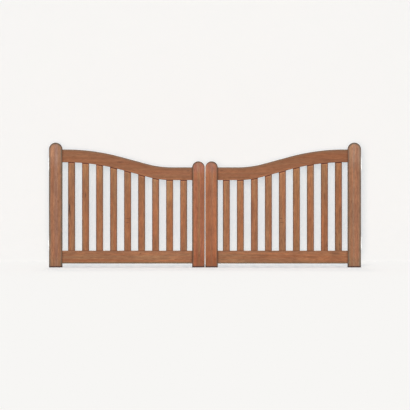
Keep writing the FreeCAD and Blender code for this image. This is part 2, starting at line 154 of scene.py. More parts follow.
class Recipe:
    """The node tree of one material or of the world, written as sums."""

    def __init__(self, owner: bpy.types.Material | bpy.types.World) -> None:
        """Empties the owner's tree.

        Args:
            owner: a new material or world.
        """
        owner.use_nodes = True
        self.owner = owner
        self.tree = owner.node_tree
        self.tree.nodes.clear()

    def node(
        self, kind: str, inputs: Mapping[str | int, object] | None = None, **settings: object
    ) -> bpy.types.Node:
        """Adds any node.

        Args:
            kind: the node's type.
            inputs: what goes into its sockets, a Value or a plain number or colour.
            settings: its own settings, which are set first, and "stops" for a ramp: places with
                colours.

        Returns:
            The node.
        """
        made = self.tree.nodes.new(kind)
        stops = settings.pop("stops", ())
        for name, setting in settings.items():
            setattr(made, name, setting)
        for count, (place, colour) in enumerate(stops):
            elements = made.color_ramp.elements
            stop = elements[count] if count < 2 else elements.new(place)
            stop.position = place
            stop.color = (*colour, 1.0)
        for name, source in (inputs or {}).items():
            socket = made.inputs[name]
            if isinstance(source, Value):
                self.tree.links.new(source.socket, socket)
            elif socket.type == "RGBA":
                socket.default_value = (*source, 1.0)
            else:
                socket.default_value = source
        return made

    def value(
        self,
        kind: str,
        inputs: Mapping[str | int, object] | None = None,
        output: str | int = 0,
        **settings: object,
    ) -> Value:
        """Adds any node, as node() does, and gives one of its outputs."""
        return Value(self, self.node(kind, inputs, **settings).outputs[output])

    def math(self, operation: str, first: Value | float, second: Value | float = 0.0) -> Value:
        """One sum on numbers."""
        return self.value("ShaderNodeMath", {0: first, 1: second}, operation=operation)

    def hypotenuse(self, first: Value, second: Value) -> Value:
        """The root of the sum of two squares."""
        return self.math("SQRT", first * first + second * second)

    def place(self) -> tuple[Value, Value, Value]:
        """Finds where a point of the surface lies on the piece at rest.

        Returns:
            Its x, y and z in metres.
        """
        point = self.value("ShaderNodeTexCoord", output="Object")
        apart = self.node("ShaderNodeSeparateXYZ", {"Vector": point})
        return tuple(Value(self, socket) for socket in apart.outputs)

    def scaled(self, place: Sequence[Value | float], often: Triple) -> Value:
        """Three numbers, each multiplied by its own factor, as one vector.

        Args:
            place: the three numbers.
            often: their factors.

        Returns:
            The vector.
        """
        x, y, z = (part * factor for part, factor in zip(place, often))
        return self.value("ShaderNodeCombineXYZ", {"X": x, "Y": y, "Z": z})

    def noise(
        self, place: Sequence[Value | float], often: Triple, detail: float, roughness: float
    ) -> Value:
        """Cloudy noise from 0 to 1, with an average of a half.

        Args:
            place: three numbers that change over the surface.
            often: about how many clouds there are to one unit of each.
            detail: how many finer noises are added.
            roughness: how strong the finer ones are, 0 to 1.

        Returns:
            The noise.
        """
        where = self.scaled(place, often)
        inputs = {"Vector": where, "Scale": 1.0, "Detail": detail, "Roughness": roughness}
        return self.value("ShaderNodeTexNoise", inputs)

    def flakes(self, place: Sequence[Value], often: float) -> Value:
        """Cells, each with a number of its own.

        Args:
            place: three numbers that change over the surface.
            often: about how many cells there are to one unit.

        Returns:
            The number of a point's cell, 0 to 1.
        """
        where = self.scaled(place, (often,) * 3)
        cells = self.value("ShaderNodeTexVoronoi", {"Vector": where, "Scale": 1.0}, "Color")
        return self.value("ShaderNodeSeparateXYZ", {"Vector": cells})

    def blend(
        self,
        share: Value | float,
        first: Value | Triple,
        second: Value | Triple,
        way: str = "MIX",
    ) -> Value:
        """Mixes two colours, which are the node's inputs 6 and 7 and its output 2.

        Args:
            share: how much of the second colour, 0 to 1.
            first: the colour at 0.
            second: the colour at 1.
            way: how they mix, such as MIX or MULTIPLY.

        Returns:
            The mixed colour.
        """
        inputs = {0: share, 6: first, 7: second}
        return self.value("ShaderNodeMix", inputs, 2, data_type="RGBA", blend_type=way)

    def ramp(self, share: Value, stops: Sequence[tuple[float, Triple]]) -> Value:
        """A colour for each share from 0 to 1."""
        return self.value("ShaderNodeValToRGB", {0: share}, stops=stops)

    def relief(self, height: Value, depth: float, strength: float) -> Value:
        """The normal of a surface that a height from 0 to 1 raises by that depth in metres."""
        inputs = {"Height": height, "Distance": depth, "Strength": strength}
        return self.value("ShaderNodeBump", inputs)

    def seen(self) -> Value:
        """Tells the rays that show a surface from those that only carry its light.

        Returns:
            1 on rays from the camera, by gloss or through glass, and else 0.
        """
        path = self.node("ShaderNodeLightPath")
        camera, glossy, through = (
            Value(self, path.outputs[output])
            for output in ("Is Camera Ray", "Is Glossy Ray", "Is Transmission Ray")
        )
        return camera.most(glossy).most(through)

    def finish(self, shader: Value) -> bpy.types.Material | bpy.types.World:
        """Ends the tree.

        Args:
            shader: what the owner looks like.

        Returns:
            The owner.
        """
        kind = "World" if isinstance(self.owner, bpy.types.World) else "Material"
        self.node(f"ShaderNodeOutput{kind}", {"Surface": shader})
        return self.owner

    def surface(self, inputs: Mapping[str, object]) -> bpy.types.Material:
        """Ends the tree of a solid surface with the shader's sockets, and gives the material."""
        return self.finish(self.value("ShaderNodeBsdfPrincipled", inputs))


class Side(Enum):
    """One of the two leaves, seen from the front, by the sign of its x."""

    LEFT = -1
    RIGHT = 1

    @property
    def word(self) -> str:
        """The side's name, as the nodes begin."""
        return self.name.lower()


class Run(Enum):
    """Which way the grain of a board runs."""

    UPRIGHT = "upright"
    LEVEL = "level"


class Tone(Enum):
    """How one board differs from the batch: its share of the batch's red, green and blue."""

    PLAIN = (1.0, 1.0, 1.0)
    RUDDY = (1.05, 0.96, 0.92)
    HONEY = (1.045, 1.04, 1.00)
    ROSY = (0.98, 1.03, 1.12)
    PALE = (1.05, 1.06, 1.10)
    DUSKY = (0.93, 0.91, 0.88)
    DARK = (0.90, 0.86, 0.80)
    GREYED = (1.02, 1.12, 1.36)
    OLIVE = (0.94, 0.99, 1.00)
    SUNNY = (1.10, 1.10, 1.00)
    LIGHT = (1.09, 1.17, 1.17)
    GLOWING = (1.12, 1.01, 0.95)


class Shade(Enum):
    """What changes within a board, some of it painted light and shade: its share of the board's red,
    green and blue.
    """

    RED_RIBBON = (1.16, 0.98, 0.86)
    OLIVE_RIBBON = (0.92, 1.08, 1.14)
    GROWTH_BAND = (0.80, 0.72, 0.64)
    GROWTH_LINE = (0.66, 0.58, 0.52)
    DARK_PATCH = (0.92, 0.91, 0.92)
    LIGHT_PATCH = (1.11, 1.12, 1.11)
    DARK_CLOUD = (0.84, 0.82, 0.81)
    LIGHT_CLOUD = (1.18, 1.19, 1.19)
    FIBRE = (0.62, 0.56, 0.50)
    PORE = (0.34, 0.26, 0.22)
    # Painted light: slats lightened below the top rail, against the shade that it casts
    BELOW_TOP_RAIL = (1.10, 1.24, 1.34)
    # Painted highlight in a band just under the top rail
    NEXT_TO_TOP_RAIL = (1.27, 1.27, 1.30)
    DARK_KNOT = (0.06, 0.04, 0.03)
    LIGHT_KNOT = (0.30, 0.20, 0.14)
    # Painted shade of the rounded arris, with oil kept in it
    ARRIS_LINE = (0.22, 0.20, 0.22)
    # End grain on the round top's rim, darkened further as painted shade of the rounded edge
    END_RIM = (0.18, 0.20, 0.30)
    # Painted contact shade of the stiles' feet: darker towards the ground, in the inner corner and along
    # the sole
    FOOT = (0.70, 0.66, 0.70)
    FOOT_CORNER = (0.16, 0.14, 0.14)
    SOLE = (0.13, 0.08, 0.06)
    # Painted shadow that the top rail casts on a slat
    TOP_JOINT = (0.26, 0.04, 0.0)
    # Dirt and painted shade where boards meet
    DIRT = (0.34, 0.22, 0.12)


class Pattern(Enum):
    """A noise in a finish: how often it changes in a metre of each direction, detail, roughness.

    In a board the directions are across, through and along it, and for the growth bands and lines
    the distance from the heart of the tree, along it, and a number of the board's own. In steel
    and in a peg's end they are x, y and z.
    """

    WANDER = ((3.0, 3.0, 1.7), 2.0, 0.5)
    BANDS = ((110.0, 0.8, 1.0), 3.0, 0.62)
    LINES = ((520.0, 1.1, 1.0), 2.0, 0.55)
    RIBBONS = ((46.0, 30.0, 1.3), 2.0, 0.5)
    PATCHES = ((16.0, 12.0, 7.0), 2.0, 0.5)
    MOTTLE = ((95.0, 90.0, 15.0), 4.0, 0.68)
    FIBRES = ((1100.0, 1100.0, 16.0), 2.0, 0.6)
    PORES = ((760.0, 760.0, 26.0), 1.0, 0.5)
    WORN = ((40.0, 40.0, 14.0), 3.0, 0.6)
    KNOT = ((420.0, 420.0, 420.0), 2.0, 0.5)
    PEG_SPECKLE = ((1500.0, 60.0, 1500.0), 2.0, 0.6)
    PEG_RINGS = ((260.0, 6.0, 260.0), 2.0, 0.5)
    UPRIGHT_BRUSHING = ((2600.0, 2600.0, 40.0), 2.0, 0.6)
    ROUND_BRUSHING = ((300.0, 300.0, 3600.0), 2.0, 0.6)
    DULL_CLOUDS = ((90.0, 90.0, 60.0), 3.0, 0.6)
    SPECKS = ((700.0, 700.0, 700.0), 1.0, 0.5)


@dataclass(frozen=True)
class Knot:
    """A knot or a dark streak in a board, or a patch of painted shade set in as a knot, in metres.

    Fields:
        along: its height or its x, along the grain.
        across: its x or its height, across the grain. A slat's marks have it from the slat's middle.
        radius: half its width.
        stretch: how many times longer than wide it is, under 1 for a mark across the grain.
        depth: how dark it is, 0 to 1.
    """

    along: float
    across: float
    radius: float
    stretch: float
    depth: float


@dataclass(frozen=True)
class Stripe:
    """A ribbon of another tone along a board; some are lines along an edge, one a painted highlight.

    Fields:
        across: its middle, from the board's middle line, in metres, to the right or upwards.
        half_width: half its width in metres.
        change: its share of the board's red, green and blue.
    """

    across: float
    half_width: float
    change: Triple


@dataclass(frozen=True)
class Fade:
    """A paler or darker end of a board.

    Fields:
        whole: the place along the grain, in metres, from which on the change is whole.
        gone: the place at which nothing is left of it.
        change: its share of the board's red, green and blue.
    """

    whole: float
    gone: float
    change: Triple

    def share(self, along: Value) -> Value:
        """How much of the change a place has.

        Args:
            along: the place along the grain.

        Returns:
            The share, 0 to 1.
        """
        if self.whole > self.gone:
            return along.rise(self.gone, self.whole)
        return along.fall(self.whole, self.gone)


@dataclass(frozen=True)
class Arris:
    """The darkening of a board's long edges, partly oil and partly painted shade of the rounded arris: a
    dark line, and a band beside it.

    Fields:
        near: how far in the band is whole, in metres.
        far: how far in the band ends.
        share: how much of the band there is, 0 to 1.
        change: the band's share of the board's red, green and blue.
        line_near: how far in the line is whole.
        line_far: how far in the line ends.
    """

    near: float = 0.003
    far: float = 0.014
    share: float = 0.40
    change: Triple = (0.66, 0.72, 0.86)
    line_near: float = 0.0025
    line_far: float = 0.0060


@dataclass(frozen=True)
class Pick:
    """What sets one board apart from its batch.

    Fields:
        tone: its colour.
        knots: its knots and dark streaks.
        stripes: its ribbons.
        fades: its paler or darker ends.
        arris: the darkening of its long edges, partly oil and partly painted shade.
        figure: how lively its ribbons and clouds are, 0 to 1.
    """

    tone: Tone = Tone.PLAIN
    knots: tuple[Knot, ...] = ()
    stripes: tuple[Stripe, ...] = ()
    fades: tuple[Fade, ...] = ()
    arris: Arris = Arris()
    figure: float = 1.0


@dataclass(frozen=True)
class Wave:
    """The top edge of a top rail, from the hinge stile in: level, crown, slope, hollow, level.

    Fields:
        run: the rail's length between the stiles, in metres.
        high: the edge's height at the hinge stile.
        low: its height at the meeting stile.
        high_level: run of the level part at the hinge stile.
        crown: run of the arc that turns down.
        slope: run of the straight slope.
        hollow: run of the arc that turns level again.
    """

    run: float = 1.042
    high: float = 0.945
    low: float = 0.802
    high_level: float = 0.032
    crown: float = 0.430
    slope: float = 0.220
    hollow: float = 0.198

    def steepest(self) -> float:
        """The angle of the slope, from the fall that the arcs and the slope share.

        Both arcs are tangent to the slope, so with t the tangent of half the angle the fall is
        t times the arcs' run, and 2t / (1 - t t) times the slope's run. Halving a span finds t.

        Returns:
            The angle in radians.
        """
        least, most = 0.0, 1.0
        for _ in range(50):
            half = (least + most) / 2
            fall = half * (self.crown + self.hollow) + self.slope * 2 * half / (1 - half * half)
            least, most = (half, most) if fall < self.high - self.low else (least, half)
        return 2 * math.atan(least)

    def height(self, inward: np.ndarray) -> np.ndarray:
        """The edge's height at some distances in from the hinge stile.

        Args:
            inward: distances in metres.

        Returns:
            Heights: on an arc, the level line less R - sqrt(R R - d d), with d the distance from
            where the arc is level, and on the slope a straight line.
        """
        angle = self.steepest()
        crown_radius = self.crown / math.sin(angle)
        hollow_radius = self.hollow / math.sin(angle)
        crown_end = self.high_level + self.crown
        hollow_start = crown_end + self.slope
        on_crown = np.clip(inward - self.high_level, 0, self.crown)
        on_slope = np.clip(inward - crown_end, 0, self.slope)
        to_level = np.clip(hollow_start + self.hollow - inward, 0, self.hollow)
        crown_fall = crown_radius - np.sqrt(crown_radius**2 - on_crown**2)
        hollow_rest = hollow_radius - np.sqrt(hollow_radius**2 - to_level**2)
        before = self.high - crown_fall - on_slope * math.tan(angle)
        return np.where(inward < hollow_start, before, self.low + hollow_rest)


@dataclass(frozen=True)
class Joints:
    """Where the rails meet a slat.

    Fields:
        lower: height of the bottom rail's upper edge, in metres.
        upper: height of the top rail's underside at the middle of the slat.
        slope: how much that underside rises in a metre of x.
    """

    lower: float
    upper: float
    slope: float


@dataclass(frozen=True)
class Point:
    """Where a point of a board lies, in metres.

    Fields:
        recipe: the tree of the board's material.
        x: its x.
        z: its height.
        along: its place along the grain.
        across: how far it is from the straight middle line, to the right or upwards.
        deep: how far it is behind the middle of the thickness.
        aside: how far it is from the line midway between the board's edges.
    """

    recipe: Recipe
    x: Value
    z: Value
    along: Value
    across: Value
    deep: Value
    aside: Value


@dataclass(frozen=True)
class Board:
    """The place of one board at rest, which its grain and its edges follow.

    Fields:
        run: which way its grain runs.
        middle: the middle of its front outline, in x and z, and of its thickness, in y.
        half_along: half its length along the grain, less tenons.
        half_across: half its width.
        half_deep: half its thickness.
        side: the leaf that it belongs to.
        round_top: whether its upper end is a half round.
        joints: for a slat, where the rails meet it.
        wave: for a top rail, the line that its edges follow.
        pale_edge: the long edge that keeps little of the arris darkening, oil and painted shade, by the
            sign of its side, or 0 for none.
    """

    run: Run
    middle: Triple
    half_along: float
    half_across: float
    half_deep: float
    side: Side
    round_top: bool = False
    joints: Joints | None = None
    wave: Wave | None = None
    pale_edge: float = 0.0

    def middle_across(self) -> float:
        """The place of the straight middle line, across the grain."""
        return self.middle[0] if self.run is Run.UPRIGHT else self.middle[2]

    def point(self, recipe: Recipe) -> Point:
        """Finds where a point of the surface lies in the board.

        Args:
            recipe: the tree of the board's material.

        Returns:
            Its places.
        """
        x, y, z = recipe.place()
        along, beside = (z, x) if self.run is Run.UPRIGHT else (x, z)
        across = beside - self.middle_across()
        aside = across if self.wave is None else z - self.middle_height(x)
        return Point(recipe, x, z, along, across, y - self.middle[1], aside)

    def middle_height(self, x: Value) -> Value:
        """The height of a top rail's middle line, which is half its depth under the wave.

        A ramp holds the wave: for even steps along the rail, the share of its fall that is gone.

        Args:
            x: the place in x.

        Returns:
            The height in metres.
        """
        wave, sign = self.wave, self.side.value
        drop = wave.high - wave.low
        shares = np.linspace(0, 1, RAMP_STOPS)
        falls = (wave.high - wave.height(shares * wave.run)) / drop
        inward = self.half_along + self.middle[0] * sign - x * sign
        stops = [(share, (fall,) * 3) for share, fall in zip(shares.tolist(), falls.tolist())]
        return wave.high - self.half_across - x.recipe.ramp(inward / wave.run, stops) * drop

    def outline(self, point: Point) -> tuple[Value, Value | None]:
        """How far a point lies in from the board's long edges and from its upper end.

        The distance from the edges is half the width less sqrt(a a + t t), where a is the distance
        from the middle line and t how far the point is above the start of a half-round top.

        Args:
            point: where the point lies.

        Returns:
            The distance in metres, and how much of the grain's end faces outwards there, 0 to 1,
            or None for a board without a round top.
        """
        if not self.round_top:
            return self.half_across - abs(point.aside), None
        top = self.middle[2] + self.half_along
        above = (point.along - (top - self.half_across)).most(0.0)
        away = point.recipe.hypotenuse(point.aside, above)
        return self.half_across - away, above / self.half_across

    def below_rail(self, point: Point) -> Value:
        """How far a point of a slat is below the underside of the top rail, in metres."""
        return self.joints.upper + (point.x - self.middle[0]) * self.joints.slope - point.z


@dataclass(frozen=True)
class Grain:
    """The patterns of one board, each from 0 to 1.

    Fields:
        wander: how far the grain drifts to the side.
        bands: broad growth bands.
        lines: fine growth lines.
        ribbons: ribbons along the grain.
        patches: patches as wide as a few fingers.
        mottle: small clouds.
        fibres: the finest streaks.
        pores: short pores, 0 between them.
        worn: how much of the edges' darkening, oil and painted shade, the wear has left.
    """

    wander: Value
    bands: Value
    lines: Value
    ribbons: Value
    patches: Value
    mottle: Value
    fibres: Value
    pores: Value
    worn: Value


@dataclass(frozen=True)
class Hardwood:
    """Oiled red-brown hardwood: growth bands, ribbons, fibres, pores, knots, dark ends and edges, with
    painted shade in the edges, at the feet and where boards meet, and painted light under the top rail.

    Fields:
        name: the node that it dresses.
        base: its batch's colour.
        board: its place.
        pick: what sets it apart.
        drift: how far its grain drifts to the side, in metres.
        push: how far a knot moves the grain, as a share of the place beside it, below 0 outwards.
        side_oil: how much sooner the darkening of an arris, oil and painted shade, ends on the board's
            sides than on its face.
        gloss: how much light its oil gives back.
    """

    name: str
    base: Triple
    board: Board
    pick: Pick
    drift: float = 0.045
    push: float = -0.55
    side_oil: float = 1.8
    gloss: float = 0.24

    def tint(self, change: Triple) -> Triple:
        """The board's own colour, changed by a share of its red, green and blue."""
        return shaded(shaded(self.base, self.pick.tone.value), change)

    def coat(self, colour: Value, layers: Layers) -> Value:
        """Lays shades of the board's own colour over another, one after the other.

        Args:
            colour: what is under them.
            layers: the shades.

        Returns:
            The colour on top.
        """
        for share, change in layers:
            colour = colour.recipe.blend(share, colour, self.tint(change))
        return colour

    def knots(self, point: Point) -> tuple[Value, Value | None]:
        """Sets the knots and marks into the board.

        A point's distance from a knot is taken in an oval that is stretched along the grain.
        Knots push the grain aside, marks across the grain don't.

        Args:
            point: where a point lies.

        Returns:
            The place across the grain that the point's pattern comes from, and how much of a
            knot's colour it has, 0 to 1, or None for a board without knots.
        """
        pushed, knotted = point.across, None
        for knot in self.pick.knots:
            beside = point.across - (knot.across - self.board.middle_across())
            above = (point.along - knot.along) / knot.stretch
            away = point.recipe.hypotenuse(beside, above)
            if knot.stretch >= 1:
                near = away.fall(0.2 * knot.radius, 3.4 * knot.radius)
                pushed = pushed + beside * near * self.push
            mask = away.fall(0.30 * knot.radius, 1.05 * knot.radius) * knot.depth
            knotted = mask if knotted is None else knotted.most(mask)
        return pushed, knotted

    def grain(self, point: Point, pushed: Value) -> Grain:
        """Grows the board's patterns, which run through it from face to face.

        The growth bands and lines are noises of r + c s, where r is the distance from the heart
        of the tree, a line beside the board, and s the place along it. The heart's place, the
        lean c and the stretch of each noise come from the board's own random numbers.

        Args:
            point: where a point lies.
            pushed: the place across the grain, with the knots' push.

        Returns:
            The patterns.
        """
        generator = np.random.default_rng(zlib.crc32(self.name.encode()))
        shift, heart_side, heart_depth, lean, band_seed, line_seed = generator.random(6).tolist()
        noise = point.recipe.noise
        across, deep, far = point.across, point.deep, point.along + 40 * shift
        wander = noise((across, deep, far), *Pattern.WANDER.value)
        moved = pushed + (wander - 0.5) * self.drift
        # The heart is up to 1.2 half widths to either side, and 3 to 12 cm behind the middle
        beside = moved - self.board.half_across * (2.4 * heart_side - 1.2)
        behind = deep - (0.03 + 0.09 * heart_depth)
        radius = point.recipe.hypotenuse(beside, behind) + far * (0.004 + 0.010 * lean)
        return Grain(
            wander=wander,
            bands=noise((radius, far, 9 * band_seed), *Pattern.BANDS.value),
            lines=noise((radius, far, 9 * line_seed), *Pattern.LINES.value),
            ribbons=noise((moved, deep, far), *Pattern.RIBBONS.value),
            patches=noise((pushed, deep, far), *Pattern.PATCHES.value),
            mottle=noise((pushed, deep, far), *Pattern.MOTTLE.value),
            fibres=noise((moved, deep, far), *Pattern.FIBRES.value),
            pores=noise((moved, deep, far), *Pattern.PORES.value).rise(0.59, 0.66),
            worn=noise((across, deep, far), *Pattern.WORN.value).rise(0.30, 0.62),
        )

    def open_wood(self, point: Point, grain: Grain) -> Value:
        """The colour away from knots and edges.

        Args:
            point: where a point lies.
            grain: the patterns there.

        Returns:
            Ribbons from red brown to olive brown, growth bands and lines, lighter and darker
            patches and clouds, fibres and pores, the faded ends, and on a slat painted light below the
            top rail.
        """
        blend, figure = point.recipe.blend, self.pick.figure
        red, olive = self.tint(Shade.RED_RIBBON.value), self.tint(Shade.OLIVE_RIBBON.value)
        colour = blend((grain.ribbons.rise(0.36, 0.64) - 0.5) * figure + 0.5, red, olive)
        layers = []
        for stripe in self.pick.stripes:
            off_stripe = abs(point.aside + (grain.wander - 0.5) * 0.010 - stripe.across)
            ribbon = off_stripe.fall(0.3 * stripe.half_width, 1.2 * stripe.half_width)
            layers.append((ribbon * 0.85, stripe.change))
        layers.append((grain.bands.rise(0.42, 0.62) * 0.60, Shade.GROWTH_BAND.value))
        layers.append((grain.lines.rise(0.48, 0.64) * 0.42, Shade.GROWTH_LINE.value))
        colour = self.coat(colour, layers)

        # Patches and clouds darken and lighten what is there, and so do the ends
        for share, dark, light in (
            (grain.patches.rise(0.30, 0.70), Shade.DARK_PATCH, Shade.LIGHT_PATCH),
            (grain.mottle.rise(0.32, 0.68), Shade.DARK_CLOUD, Shade.LIGHT_CLOUD),
        ):
            colour = blend(figure, colour, blend(share, dark.value, light.value), "MULTIPLY")
        fibres = (grain.fibres.rise(0.45, 0.70) * 0.36, Shade.FIBRE.value)
        colour = self.coat(colour, (fibres, (grain.pores * 0.62, Shade.PORE.value)))
        changes = [(fade.share(point.along), fade.change) for fade in self.pick.fades]
        # Painted light: a slat is lightened below the top rail, against the shade the rail casts, most
        # just under it
        if self.board.joints is not None:
            below = self.board.below_rail(point)
            changes.append((below.fall(0.0, 0.32), Shade.BELOW_TOP_RAIL.value))
            changes.append((below.fall(0.010, 0.021), Shade.NEXT_TO_TOP_RAIL.value))
        for share, change in changes:
            colour = blend(share, colour, change, "MULTIPLY")
        return colour

    def arris_oil(self, point: Point, inward: Value, worn: Value) -> Layers:
        """The darkened long edges: partly oil that stays in them, partly painted shade of the rounded
        arris.

        Args:
            point: where a point lies.
            inward: how far it is in from the nearest arris.
            worn: how much of that darkening the wear has left there.

        Returns:
            The band and the line.
        """
        arris = self.pick.arris
        pale = (point.aside * self.board.pale_edge).rise(0.0, 0.02)
        # The arris darkening is partly oil and partly painted shade of the rounded edge
        oil = (0.62 + worn * 0.38) * (1.0 - pale * 0.90)
        return [
            (inward.fall(arris.near, arris.far) * oil * arris.share, arris.change),
            (inward.fall(arris.line_near, arris.line_far) * oil * 0.90, Shade.ARRIS_LINE.value),
        ]

    def stile_ends(self, point: Point, edge_in: Value, end_out: Value) -> Layers:
        """The dark rim of a stile's round top, end grain with painted shade, and the painted contact
        shade at its foot.

        Args:
            point: where a point lies.
            edge_in: how far it is in from the long edges and the top.
            end_out: how much of the grain's end faces outwards there.

        Returns:
            The rim and, from the ground, the foot's shades.
        """
        foot = point.along - (self.board.middle[2] - self.board.half_along)
        rim = edge_in.fall(0.0045, 0.0085) * end_out.rise(0.05, 0.60)
        corner = foot.fall(0.024, 0.034) * edge_in.fall(0.003, 0.010)
        return [
            (rim * 0.82, Shade.END_RIM.value),
            (foot.fall(0.0, 0.050) * 0.25, Shade.FOOT.value),
            (corner * 0.75, Shade.FOOT_CORNER.value),
            (foot.fall(0.0085, 0.0135) * 0.96, Shade.SOLE.value),
        ]

    def joint_lines(self, point: Point) -> Layers:
        """The dark lines where a slat enters the rails, or a rail meets the stiles: painted shadow under
        the top rail, and dirt with painted shade at the bottom rail and beside the stiles.

        Args:
            point: where a point lies.

        Returns:
            The lines, none for a board that enters no other.
        """
        board = self.board
        if board.joints is not None:
            above_lower = (point.z - board.joints.lower).fall(0.001, 0.006)
            return [
                (board.below_rail(point).fall(0.0050, 0.0064), Shade.TOP_JOINT.value),
                (above_lower * 0.6, Shade.DIRT.value),
            ]
        if board.run is Run.LEVEL:
            to_stile = board.half_along - abs(point.x - board.middle[0])
            return [(to_stile.fall(0.002, 0.016) * 0.5, Shade.DIRT.value)]
        return []

    def material(self) -> bpy.types.Material:
        """Makes the board's material.

        Returns:
            The material.
        """
        recipe = Recipe(bpy.data.materials.new(self.name))
        point = self.board.point(recipe)
        pushed, knotted = self.knots(point)
        grain = self.grain(point, pushed)
        colour = self.open_wood(point, grain)
        if knotted is not None:
            speckle = recipe.noise((point.across, point.deep, point.along), *Pattern.KNOT.value)
            dark, light = self.tint(Shade.DARK_KNOT.value), self.tint(Shade.LIGHT_KNOT.value)
            colour = recipe.blend(knotted, colour, recipe.blend(speckle, dark, light))
        edge_in, end_out = self.board.outline(point)
        inward = edge_in.most((self.board.half_deep - abs(point.deep)) * self.side_oil)
        colour = self.coat(colour, self.arris_oil(point, inward, grain.worn))
        if end_out is not None:
            colour = self.coat(colour, self.stile_ends(point, edge_in, end_out))
        colour = self.coat(colour, self.joint_lines(point))
        height = grain.fibres * 0.35 + (1.0 - grain.pores) * 0.45 + (1.0 - grain.lines) * 0.20
        rough = 0.46 + grain.bands * 0.10 + grain.pores * 0.16 + inward.fall(0.0, 0.004) * 0.10
        return recipe.surface({
            "Base Color": colour,
            "Roughness": rough,
            "Normal": recipe.relief(height, 0.00035, 0.55),
            "Specular IOR Level": self.gloss,
        })


@dataclass(frozen=True)
class EndGrain:
    """The end of a wooden peg, speckled and with rings.

    Fields:
        name: the node that it dresses.
        colour: the wood's colour.
        dark: the share of it that the speckles keep.
        light: the share of it that the rings have.
    """

    name: str
    colour: Triple
    dark: Triple = (0.55, 0.55, 0.55)
    light: Triple = (1.3, 1.3, 1.3)

    def material(self) -> bpy.types.Material:
        """Makes the material.

        Returns:
            The material.
        """
        recipe = Recipe(bpy.data.materials.new(self.name))
        place = recipe.place()
        speckle = recipe.noise(place, *Pattern.PEG_SPECKLE.value)
        growth = recipe.noise(place, *Pattern.PEG_RINGS.value).rise(0.4, 0.7)
        colour = recipe.blend(speckle, self.colour, shaded(self.colour, self.dark))
        colour = recipe.blend(growth * 0.5, colour, shaded(self.colour, self.light))
        return recipe.surface({
            "Base Color": colour,
            "Roughness": 0.55 + speckle * 0.2,
            "Normal": recipe.relief(speckle, 0.0003, 0.6),
            "Specular IOR Level": 0.3,
        })


@dataclass(frozen=True)
class Steel:
    """Bare or plated steel: fine brushed lines, dull clouds and a few brown specks.

    Fields:
        name: the material's name.
        colour: its colour where it is clean.
        shine: its roughness where it shines most.
        brushing: its fine lines.
        spangle: how strong the flakes of its coat are, 0 to 1.
        dull: the share of its colour in dull places.
        stain: the share of its colour in brown specks.
    """

    name: str
    colour: Triple
    shine: float
    brushing: Pattern
    spangle: float = 0.0
    dull: Triple = (0.78, 0.78, 0.78)
    stain: Triple = (0.66, 0.58, 0.48)

    def material(self) -> bpy.types.Material:
        """Makes the material.

        Returns:
            The material.
        """
        recipe = Recipe(bpy.data.materials.new(self.name))
        place = recipe.place()
        lines = recipe.noise(place, *self.brushing.value)
        clouds = recipe.noise(place, *Pattern.DULL_CLOUDS.value)
        specks = recipe.noise(place, *Pattern.SPECKS.value).rise(0.66, 0.74)
        dull = shaded(self.colour, self.dull)
        colour = recipe.blend(lines.rise(0.30, 0.70) * 0.45, self.colour, dull)
        colour = recipe.blend(clouds.rise(0.52, 0.74) * 0.35, colour, dull)
        if self.spangle > 0:
            colour = recipe.blend(recipe.flakes(place, 160.0) * self.spangle, colour, dull)
        stained = specks * clouds.rise(0.45, 0.65) * 0.5
        colour = recipe.blend(stained, colour, shaded(self.colour, self.stain))
        return recipe.surface({
            "Base Color": colour,
            "Metallic": 1.0,
            "Roughness": self.shine + lines * 0.12 + clouds * 0.14,
            "Normal": recipe.relief(lines * 0.7 + clouds * 0.3, 0.00012, 0.5),
        })


def added(name: str, data: bpy.types.ID) -> bpy.types.Object:
    """Puts a mesh, a lamp or a camera into the scene.

    Args:
        name: the object's name.
        data: the mesh, lamp or camera.

    Returns:
        The object, at the origin.
    """
    made = bpy.data.objects.new(name, data)
    bpy.context.scene.collection.objects.link(made)
    return made


def polar(profile: np.ndarray, round_count: int) -> tuple[np.ndarray, np.ndarray]:
    """Two grids of a profile's steps by points round z: the step's number, and the angle."""
    angles = np.arange(round_count) * 2 * math.pi / round_count
    return np.meshgrid(profile, angles, indexing="ij")


def rings(radius: np.ndarray, angle: np.ndarray, along: np.ndarray) -> np.ndarray:
    """The points (r cos a, r sin a, s) of three grids, as rings by points round a ring by 3."""
    return np.stack([radius * np.cos(angle), radius * np.sin(angle), along], axis=-1)


def lathe(stack: np.ndarray, first: float, last: float) -> Skin:
    """Closes a stack of rings about z into one skin, with a point on z at each end.

    Args:
        stack: the points, as rings by points round a ring by 3. Seen from the last end towards
            the first, a ring runs anticlockwise.
        first: the height of the point that closes the first ring.
        last: the height of the point that closes the last ring.

    Returns:
        The points as one list, and the faces: squares between rings and triangles at the ends.
    """
    count, round_count = stack.shape[:2]
    points = np.concatenate([stack.reshape(-1, 3), [[0.0, 0.0, first], [0.0, 0.0, last]]])
    here = np.arange(round_count)
    there = (here + 1) % round_count
    starts = np.arange(count - 1)[:, None] * round_count
    corners = (starts + here, starts + there, starts + round_count + there, starts + round_count + here)
    squares = np.stack(corners, axis=-1).reshape(-1, 4)
    first_end, last_end = (np.full(round_count, count * round_count + end) for end in (0, 1))
    last_ring = (count - 1) * round_count
    first_fan = np.stack([there, here, first_end], axis=-1)
    last_fan = np.stack([last_ring + here, last_ring + there, last_end], axis=-1)
    return points, [*squares.tolist(), *first_fan.tolist(), *last_fan.tolist()]


